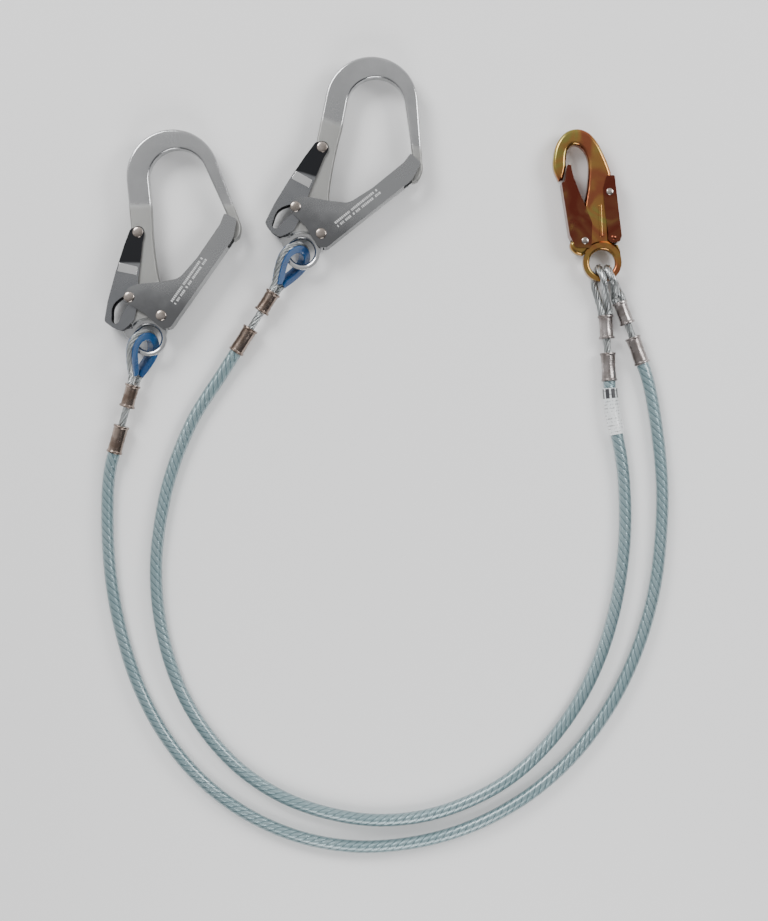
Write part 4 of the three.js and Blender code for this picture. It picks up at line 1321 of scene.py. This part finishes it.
@dataclass(frozen=True)
class ScaffoldHook:
    """One large hook: its body, gate and lock lever, in a frame whose origin is the eye's centre."""

    side: Side
    thickness: float = 12.0
    edge: float = 1.9
    eye_hole: float = 10.9
    eye_bar: float = 4.9
    eye_thickness: float = 5.8
    gate_pivot: tuple[float, float] = (12.0, 19.2)
    lock_pin: tuple[float, float] = (-16.0, 35.3)
    lever_pivot: tuple[float, float] = (-8.6, 92.1)
    travel: float = 38.0
    lever_ratio: float = 0.16
    sheet: float = 1.8
    pin: float = 3.0
    head: float = 4.6
    head_height: float = 1.3
    seat_depth: float = 2.9
    seat_wall: float = 2.6

    @property
    def lever_inside(self) -> float:
        """Half the clear width inside the lever."""
        return self.thickness / 2 + GAP

    @property
    def gate_inside(self) -> float:
        """Half the clear width inside the gate."""
        return self.lever_inside + self.sheet + GAP

    def place(self) -> Matrix:
        """Where the hook lies, from its joints."""
        side = self.side.value
        eye, gate = joint_place(f"{side}_hook_swing"), joint_place(f"{side}_gate_hinge")
        bearing = math.atan2(gate.y - eye.y, gate.x - eye.x)
        own = math.atan2(self.gate_pivot[1], self.gate_pivot[0])
        return Matrix.Translation(eye) @ Matrix.Rotation(bearing - own, 4, "Z")

    def build(self) -> None:
        """Makes the hook's pieces."""
        place, side, name = self.place(), self.side.value, f"{self.side.value}_hook"
        gate_grip = self.gate_inside + self.sheet + GAP
        lever_grip = self.lever_inside + self.sheet + GAP
        pieces = (
            ("body", self.body(), name, [POLISHED], "polished_forging"),
            ("gate", self.gate(), f"{side}_gate", [GATE_SHEET, ETCHED], "sheet_steel"),
            ("lock_lever", self.lever(), f"{side}_lever", [LEVER_SHEET, PAINTED_HIGHLIGHT_BAND], "sheet_steel"),
            ("gate_pivot", self.rivet(self.gate_pivot, gate_grip, 1.0), name, [RIVET], "rivet_steel"),
            ("lock_pin", self.rivet(self.lock_pin, gate_grip, 1.0), f"{side}_gate", [RIVET], "rivet_steel"),
            ("lever_pivot", self.rivet(self.lever_pivot, lever_grip, 0.8), name, [RIVET], "rivet_steel"),
        )
        for what, mesh, body, finishes, slot in pieces:
            dressed(f"{what}_{name}", mesh, place, body, finishes, [f"{name}_{what}"])

    def rivet(self, at: tuple[float, float], half_grip: float, share: float) -> bpy.types.Mesh:
        """One of the hook's rivets."""
        return domed_rivet(*at, self.pin, self.head, self.head_height * share, half_grip)

    def outline(self) -> Plan:
        """The body's outline."""
        gx, gy = self.gate_pivot
        notch = math.dist(self.gate_pivot, self.lock_pin) - self.pin - 1.8
        nose = through([(68.5, 108.5), (73.0, 97.0), (75.2, 84.6)], 4)
        tip = through([(75.2, 84.6), (79.6, 88.0), (81.2, 97.5), (79.3, 103.8)], 5)
        return [
            *nose[:-1], *tip[:-1],
            *arc(21.5, 142, 40.6, 19.7, 184.2, 4),
            *through([(-15.1, 96.4), (-16.6, 72.0), (-17.8, 50.0)], 3),
            *arc(gx, gy, notch, 140, 203),
            (-20.6, 7.6), (-21.1, 4.6), (-19.0, 1.4),
            *arc(0, 0, self.eye_hole + self.eye_bar, 188, 370),
            *arc(gx, gy, 10, -60, 25),
            *through([(20.5, 27.0), (14.5, 42.0), (10.2, 48.3), (4.6, 82.8), (2.8, 117.4)], 4),
            *arc(26.2, 139.6, 25.6, 182, 22.9, 4),
        ]

    def body(self) -> bpy.types.Mesh:
        """The forging, thinned and rounded at its eye and seated for the springs."""
        half, thin, ring = self.thickness / 2, self.eye_thickness / 2, self.eye_hole + self.eye_bar
        mesh = slab(self.outline(), self.thickness, self.edge)
        for side, segments in ((-1, 53), (1, 61)):
            mesh = carved(mesh, ring_relief(side * thin, side * half, ring, 2.0, segments))
            horn = [(side * thin, 0), (side * thin, 9), (side * BEYOND, 9), (side * BEYOND, 0)]
            mesh = carved(mesh, turned(horn, -17, 2))
        mouth = self.eye_hole + thin
        wall = [
            (thin * math.sin(math.radians(t)), mouth - thin * math.cos(math.radians(t)))
            for t in range(-80, 81, 16)
        ]
        past = thin + 0.01
        bore = [(-BEYOND, 0), (-BEYOND, mouth), (-past, mouth), *wall, (past, mouth), (BEYOND, mouth),
                (BEYOND, 0)]
        mesh = carved(mesh, turned(bore, 0, 0, 72))
        mesh = eased(mesh, lambda p: abs(p.xy.length - ring) < 0.05 and abs(abs(p.z) - thin) < 0.05, 1.5)
        pivots = [self.gate_pivot, self.lever_pivot]
        return seated(mesh, pivots, self.pin, self.seat_wall, half - self.seat_depth)

    def gate(self) -> bpy.types.Mesh:
        """The gate: a folded channel with two side plates, and rows of plain etched ticks."""
        outline = rounded([
            (67.0, 108.5, 1.5), (78.1, 103.2, 3), (75.0, 87.2, 8), (20.1, 8.8, 4), (13.0, 7.4, 5),
            (4.0, 14.9, 10), (-3.4, 21.7, 8),
            (-15.8, 28.5, 10), (-21.6, 34.4, 8), (-17.0, 43.6, 8), (-8.3, 46.8, 10), (8.9, 48.3, 20),
            (27.5, 51.6, 14), (43.5, 69.9, 30), (63.3, 98.9, 10),
        ])
        foot, head = Vector((20.1, 8.8)), Vector((69.5, 79.4))
        along = (head - foot).normalized()
        inward = Vector((-along.y, along.x))
        low, high = foot + inward * self.sheet - along * 40, head + inward * self.sheet
        past = high - inward * 6
        hollow = [tuple(low), tuple(high), tuple(past), (160, 60), (160, 200), (-90, 200), (-90, -60)]
        holes = [hole(pin, self.pin + GAP) for pin in (self.gate_pivot, self.lock_pin)]
        fold = [tuple(foot), (75.0, 87.2)]
        mesh = folded(outline, hollow, fold, self.gate_inside, self.sheet, self.sheet * 1.5, holes)
        return merged([mesh, self.ticks(foot, along, inward, self.gate_inside + self.sheet)])

    def ticks(self, foot: Vector, along: Vector, inward: Vector, height: float) -> bpy.types.Mesh:
        """Makes two rows of plain etched ticks beside the fold, on the upper plate.

        Args:
            foot: The fold's lower end.
            along: The fold's direction.
            inward: The direction from the fold into the plate.
            height: The height of the plate's face.

        Returns:
            The ticks' mesh.
        """
        draw = random.Random(7)
        first, last, space, share_left_out, proud = 19.0, 66.0, 0.55, 0.14, 0.03
        tall = inward * 2.0
        marks = []
        for row in (7.5, 11.2):
            way = first
            while way < last:
                size = draw.uniform(0.7, 1.5)
                if draw.random() > share_left_out:
                    start, wide = foot + along * way + inward * row, along * size
                    corners = [start, start + wide, start + wide + tall, start + tall]
                    marks.append(prism([tuple(c) for c in corners], height - 0.2, height + proud))
                way += size + space
        return marked(merged(marks))

    def pin_from_lever(self, turn: float) -> tuple[float, float]:
        """The lock pin's place, seen from the lever, when the gate has turned by so many degrees."""
        gate, lever = Vector(self.gate_pivot), Vector(self.lever_pivot)
        arm = Vector(self.lock_pin) - gate
        arm.rotate(Matrix.Rotation(math.radians(turn), 2))
        seen = gate + arm - lever
        seen.rotate(Matrix.Rotation(-math.radians(turn * self.lever_ratio), 2))
        return tuple(seen + lever)

    def lever(self) -> bpy.types.Mesh:
        """The lock lever: a folded channel behind the spine, slotted for the lock pin, with a raised step in
        a painted highlight.
        """
        back = [(-20.7, 80.4), (-25.4, 65.6), (-28.1, 57.5), (-34.9, 32.2), (-38.0, 14.3)]
        front = [
            (-30.6, 8.8, 4), (-21.9, 6.3, 5), (-12.0, 14.9, 6), (-9.6, 26.0, 10), (-8.1, 52.0, 10),
            (-4.6, 84.1, 10), (-2.6, 91.5, 5), (-8.3, 97.9, 6), (-15.4, 94.6, 4),
        ]
        outline = rounded([*[(x, y, 4) for x, y in back], *front])
        inner = [(x + self.sheet * 1.05, y) for x, y in back]
        hollow = [(inner[0][0], 150), *inner, (inner[-1][0], -40), (80, -40), (80, 150)]
        released = [self.pin_from_lever(-1 + (self.travel + 2) * i / 5) for i in range(6)]
        locked = [released[0], (-27.0, 27.0), released[-1]]
        slots = [prism(band(way, self.pin + GAP + 0.2), -BEYOND, BEYOND) for way in (released, locked)]
        cutters = [*slots, hole(self.lever_pivot, self.pin + GAP)]
        mesh = folded(outline, hollow, back, self.lever_inside, self.sheet, self.sheet * 1.3, cutters)
        outside = self.lever_inside + self.sheet
        # The raised step takes the lever's second finish, a bright colour that paints the highlight along the
        # joggle.
        step = rounded([(-24.6, 65.6, 1.0), (-26.6, 57.9, 1.0), (-9.4, 54.5, 1.0), (-8.6, 61.9, 1.0)])
        return merged([mesh, marked(slab(step, 2 * outside + 0.5, 0.24))])


# ---------------------------------------------------------------- snap hook


@dataclass(frozen=True)
class SnapHook:
    """The double-locking snap hook, in a frame whose origin is the ring's centre."""

    thickness: float = 12.0
    edge: float = 3.0
    ring_hole: float = 11.3
    ring_bar: float = 5.7
    ring_thickness: float = 8.0
    gate_pivot: tuple[float, float] = (-15.7, 18.6)
    lever_pivot: tuple[float, float] = (6.0, 61.5)
    pin: float = 2.0
    head: float = 3.1
    head_height: float = 1.1
    sheet: float = 1.8
    rib: float = 0.8
    seat_depth: float = 2.9
    seat_wall: float = 1.9

    @property
    def inside(self) -> float:
        """Half the clear width inside the gate and the lever."""
        return self.thickness / 2 + GAP

    def build(self) -> None:
        """Makes the snap hook's pieces."""
        place = Matrix.Translation(joint_place("outer_leg_swing"))
        grip = self.inside + self.sheet + GAP
        rivets = [domed_rivet(*at, self.pin, self.head, self.head_height, grip)
                  for at in (self.gate_pivot, self.lever_pivot)]
        pieces = (
            ("snap_hook_body", self.body(), "snap_hook", GOLD, "gold_forging"),
            ("snap_gate", self.gate(), "snap_gate", GOLD_SHEET, "gold_sheet"),
            ("snap_lock_lever", self.lever(), "snap_lever", GOLD_SHEET, "gold_sheet"),
            ("snap_gate_pivot", rivets[0], "snap_hook", RIVET, "rivet_steel"),
            ("snap_lever_pivot", rivets[1], "snap_hook", RIVET, "rivet_steel"),
        )
        for node, mesh, body, finish, slot in pieces:
            dressed(f"fine_{node}", mesh, place, body, [finish], [node])

    def outline(self) -> Plan:
        """The body's outline."""
        return [
            (-34.6, 72.6),
            *through([(-38.6, 71.1), (-43.2, 82.5), (-42.6, 95.5), (-39.0, 106.4), (-31.6, 114.6),
                      (-21.9, 117.2), (-12.6, 114.2), (-4.4, 105.4), (3.8, 88.7), (7.4, 79.0)], 5),
            *through([(7.9, 73.0), (9.4, 64.5), (9.4, 58.5), (7.4, 50.0), (6.2, 30.0), (7.0, 17.2)], 3),
            (13.6, 15.4), (15.6, 11.0),
            *arc(0, 0, self.ring_hole + self.ring_bar, 6, -208),
            *through([(-18.1, 5.7), (-23.8, 7.6), (-28.1, 12.3), (-28.3, 17.0), (-25.6, 19.4)], 3),
            (-20.8, 28.0), (-18.5, 40.0), (-15.7, 51.0),
            *through([(-13.4, 64.9), (-12.3, 79.0), (-12.6, 88.6), (-15.8, 97.4), (-21.4, 102.4),
                      (-26.4, 102.8), (-30.3, 98.9), (-31.9, 91.0), (-31.9, 84.0)], 5),
        ]

    def body(self) -> bpy.types.Mesh:
        """The forging: bowl, shank with its rib, and ring."""
        half, thin, ring = self.thickness / 2, self.ring_thickness / 2, self.ring_hole + self.ring_bar
        mesh = slab(self.outline(), self.thickness, self.edge)
        for side in (-1, 1):
            mesh = carved(mesh, ring_relief(side * thin, side * half, ring, 1.6, 64))
        wide, soft = self.ring_hole + 2.2, 2.2
        wall = [(-thin + soft - soft * math.cos(math.radians(t)), wide - soft * math.sin(math.radians(t)))
                for t in range(0, 91, 15)]
        far_wall = [(-z, r) for z, r in wall[::-1]]
        bore = [(-BEYOND, 0), (-BEYOND, wide), *wall, *far_wall, (BEYOND, wide), (BEYOND, 0)]
        mesh = carved(mesh, turned(bore, 0, 0, 72))
        pivots = [self.gate_pivot, self.lever_pivot]
        mesh = seated(mesh, pivots, self.pin, self.seat_wall, half - self.seat_depth)
        rib = rounded([(-3.9, 50.0, 1), (-0.8, 51.0, 1), (0.1, 22.4, 1), (-2.9, 21.9, 1)])
        return merged([mesh, slab(rib, self.thickness + 2 * self.rib, 0.7)])

    def channel(self, outline: Plan, back: Plan, inward: int, pivot: tuple[float, float]) -> bpy.types.Mesh:
        """A folded channel.

        Args:
            outline: The side plates' outline.
            back: The folded edge, where the web runs.
            inward: The side of that edge that is hollow, 1 towards +X.
            pivot: Where its rivet passes.

        Returns:
            The channel's mesh.
        """
        inner = [(x + inward * self.sheet * 1.03, y) for x, y in back]
        far = inner[-1][0] + inward * 90
        hollow = [(inner[0][0], inner[0][1] + 20), *inner, (inner[-1][0], inner[-1][1] - 20),
                  (far, inner[-1][1] - 20), (far, inner[0][1] + 20)]
        bore = [hole(pivot, self.pin + GAP)]
        return folded(outline, hollow, back, self.inside, self.sheet, self.sheet * 1.6, bore)

    def gate(self) -> bpy.types.Mesh:
        """The gate, which closes on the nose."""
        back = [(-31.2, 85.2), (-33.4, 70.4), (-36.3, 69.3), (-29.1, 23.4)]
        front = [(-24.0, 12.6, 3), (-10.0, 12.2, 3), (-9.4, 34.3, 4), (-16.7, 52.0, 6), (-21.0, 62.0, 8),
                 (-25.8, 74.4, 8), (-28.1, 85.0, 1)]
        outline = rounded([*[(x, y, 0.8) for x, y in back], *front], 5)
        return self.channel(outline, back, 1, self.gate_pivot)

    def lever(self) -> bpy.types.Mesh:
        """The lock lever along the back, with a raised boss at its foot."""
        back = [(10.2, 76.0), (16.5, 22.9), (14.9, 18.0)]
        front = [(8.0, 16.6, 3), (4.4, 19.6, 2), (4.6, 24.8, 2), (1.0, 53.4, 4), (0.4, 64.9, 4),
                 (3.3, 75.8, 2)]
        outline = rounded([*[(x, y, 1.5) for x, y in back], *front], 5)
        mesh = self.channel(outline, back, -1, self.lever_pivot)
        top = self.inside + self.sheet
        rise = [(-0.6, 0), (-0.6, 2.0), (0.0, 2.0), (0.4, 1.3), (0.5, 0)]
        bosses = [turned([(side * (top + z), r) for z, r in rise], 9.6, 21.6, 24) for side in (-1, 1)]
        return merged([mesh, *bosses])


# ---------------------------------------------------------------- studio


@dataclass(frozen=True)
class Studio:
    """The floor, the soft light and the camera straight above."""

    centre: tuple[float, float] = (0.0051, -0.179)
    height: float = 1.5
    frame_height: float = 0.8105
    subject_height: float = 0.011

    def build(self) -> None:
        """Makes the whole studio."""
        self.camera()
        self.floor()
        self.world()
        self.lamp("key", place=(-0.85, 0.95, 1.15), size=0.7, watts=22.0)
        self.lamp("fill", place=(1.05, 0.35, 0.9), size=0.6, watts=12.0)
        self.lamp("low", place=(0.1, -1.25, 0.8), size=0.8, watts=11.0)

    def camera(self) -> None:
        """Makes the camera and takes it into use."""
        data = bpy.data.cameras.new("camera")
        data.sensor_width = 36.0
        data.lens = data.sensor_width * self.height / self.frame_height
        data.clip_end = 20.0
        camera = bpy.data.objects.new("camera", data)
        camera.location = (*self.centre, self.height + self.subject_height)
        bpy.context.scene.collection.objects.link(camera)
        bpy.context.scene.camera = camera

    def floor(self) -> None:
        """Makes the plain pale floor."""
        half = 3.0
        mesh = bpy.data.meshes.new("floor")
        corners = [(-half, -half, 0), (half, -half, 0), (half, half, 0), (-half, half, 0)]
        mesh.from_pydata(corners, [], [(0, 1, 2, 3)])
        made = bpy.data.materials.new("floor")
        made.use_nodes = True
        shader = made.node_tree.nodes["Principled BSDF"]
        shader.inputs["Base Color"].default_value = rgb(0.86, 0.86, 0.86)
        shader.inputs["Roughness"].default_value = 0.9
        mesh.materials.append(made)
        floor = bpy.data.objects.new("floor", mesh)
        bpy.context.scene.collection.objects.link(floor)

    def world(self) -> None:
        """Lights the room softly, brighter to one side, so that metal has something to mirror."""
        world = bpy.data.worlds.new("studio")
        bpy.context.scene.world = world
        world.use_nodes = True
        world.node_tree.nodes.clear()
        make = Tree(world.node_tree)
        way = make.node("ShaderNodeSeparateXYZ", {0: make.node("ShaderNodeTexCoord").outputs["Generated"]})
        lean = make.maths("MULTIPLY_ADD", way.outputs[0], -0.35, way.outputs[1])
        share = make.ramp(lean, -0.75, 0.75)
        colour = make.blend(share, rgb(0.12, 0.122, 0.13), rgb(1.0, 1.0, 1.0))
        light = make.node("ShaderNodeBackground", {"Color": colour, "Strength": 0.9})
        make.tree.links.new(light.outputs[0], make.node("ShaderNodeOutputWorld").inputs["Surface"])

    def lamp(self, name: str, place: tuple[float, float, float], size: float, watts: float) -> None:
        """Makes a soft lamp that faces the middle of the lanyard.

        Args:
            name: The lamp's name.
            place: Where it stands, in metres.
            size: The length of its sides, in metres.
            watts: Its power.
        """
        data = bpy.data.lights.new(name, "AREA")
        data.energy = watts
        data.shape = "SQUARE"
        data.size = size
        lamp = bpy.data.objects.new(name, data)
        lamp.location = place
        aim = Vector((*self.centre, 0.0)) - Vector(place)
        lamp.rotation_euler = aim.to_track_quat("-Z", "Y").to_euler()
        bpy.context.scene.collection.objects.link(lamp)


# ---------------------------------------------------------------- the lanyard


def main() -> None:
    """Builds the studio and every piece of the lanyard."""
    logging.basicConfig(level=logging.INFO, format="%(name)s %(message)s")
    Studio().build()
    outer, inner = CoatedLeg(Side.OUTER, OUTER_ROUTE), CoatedLeg(Side.INNER, INNER_ROUTE)
    outer.build()
    inner.build([LabelSleeve().build(inner)])
    ring = joint_place("outer_leg_swing")
    HookEnd(Side.OUTER, -106.2, outer.line[0]).build()
    HookEnd(Side.INNER, -122.7, inner.line[0]).build()
    SnapEnd(Side.INNER, 93.5, inner.line[-1], ring, over=-88, under=-108, crown_radius=4.9,
            crown_bearing=-125, front=1).build()
    SnapEnd(Side.OUTER, 110.2, outer.line[-1], ring, over=-60, under=-52, crown_radius=6.2,
            crown_bearing=-40, front=-1).build()
    for side in Side:
        ScaffoldHook(side).build()
    SnapHook().build()
    for name, node in frame["nodes"].items():
        if name.endswith("_spring"):
            node.data.materials.clear()
            node.data.materials.append(SPRING.material())
            LOG.info("%s: the plain solid", name)
    bpy.context.view_layer.update()


if __name__ == "__main__":
    main()
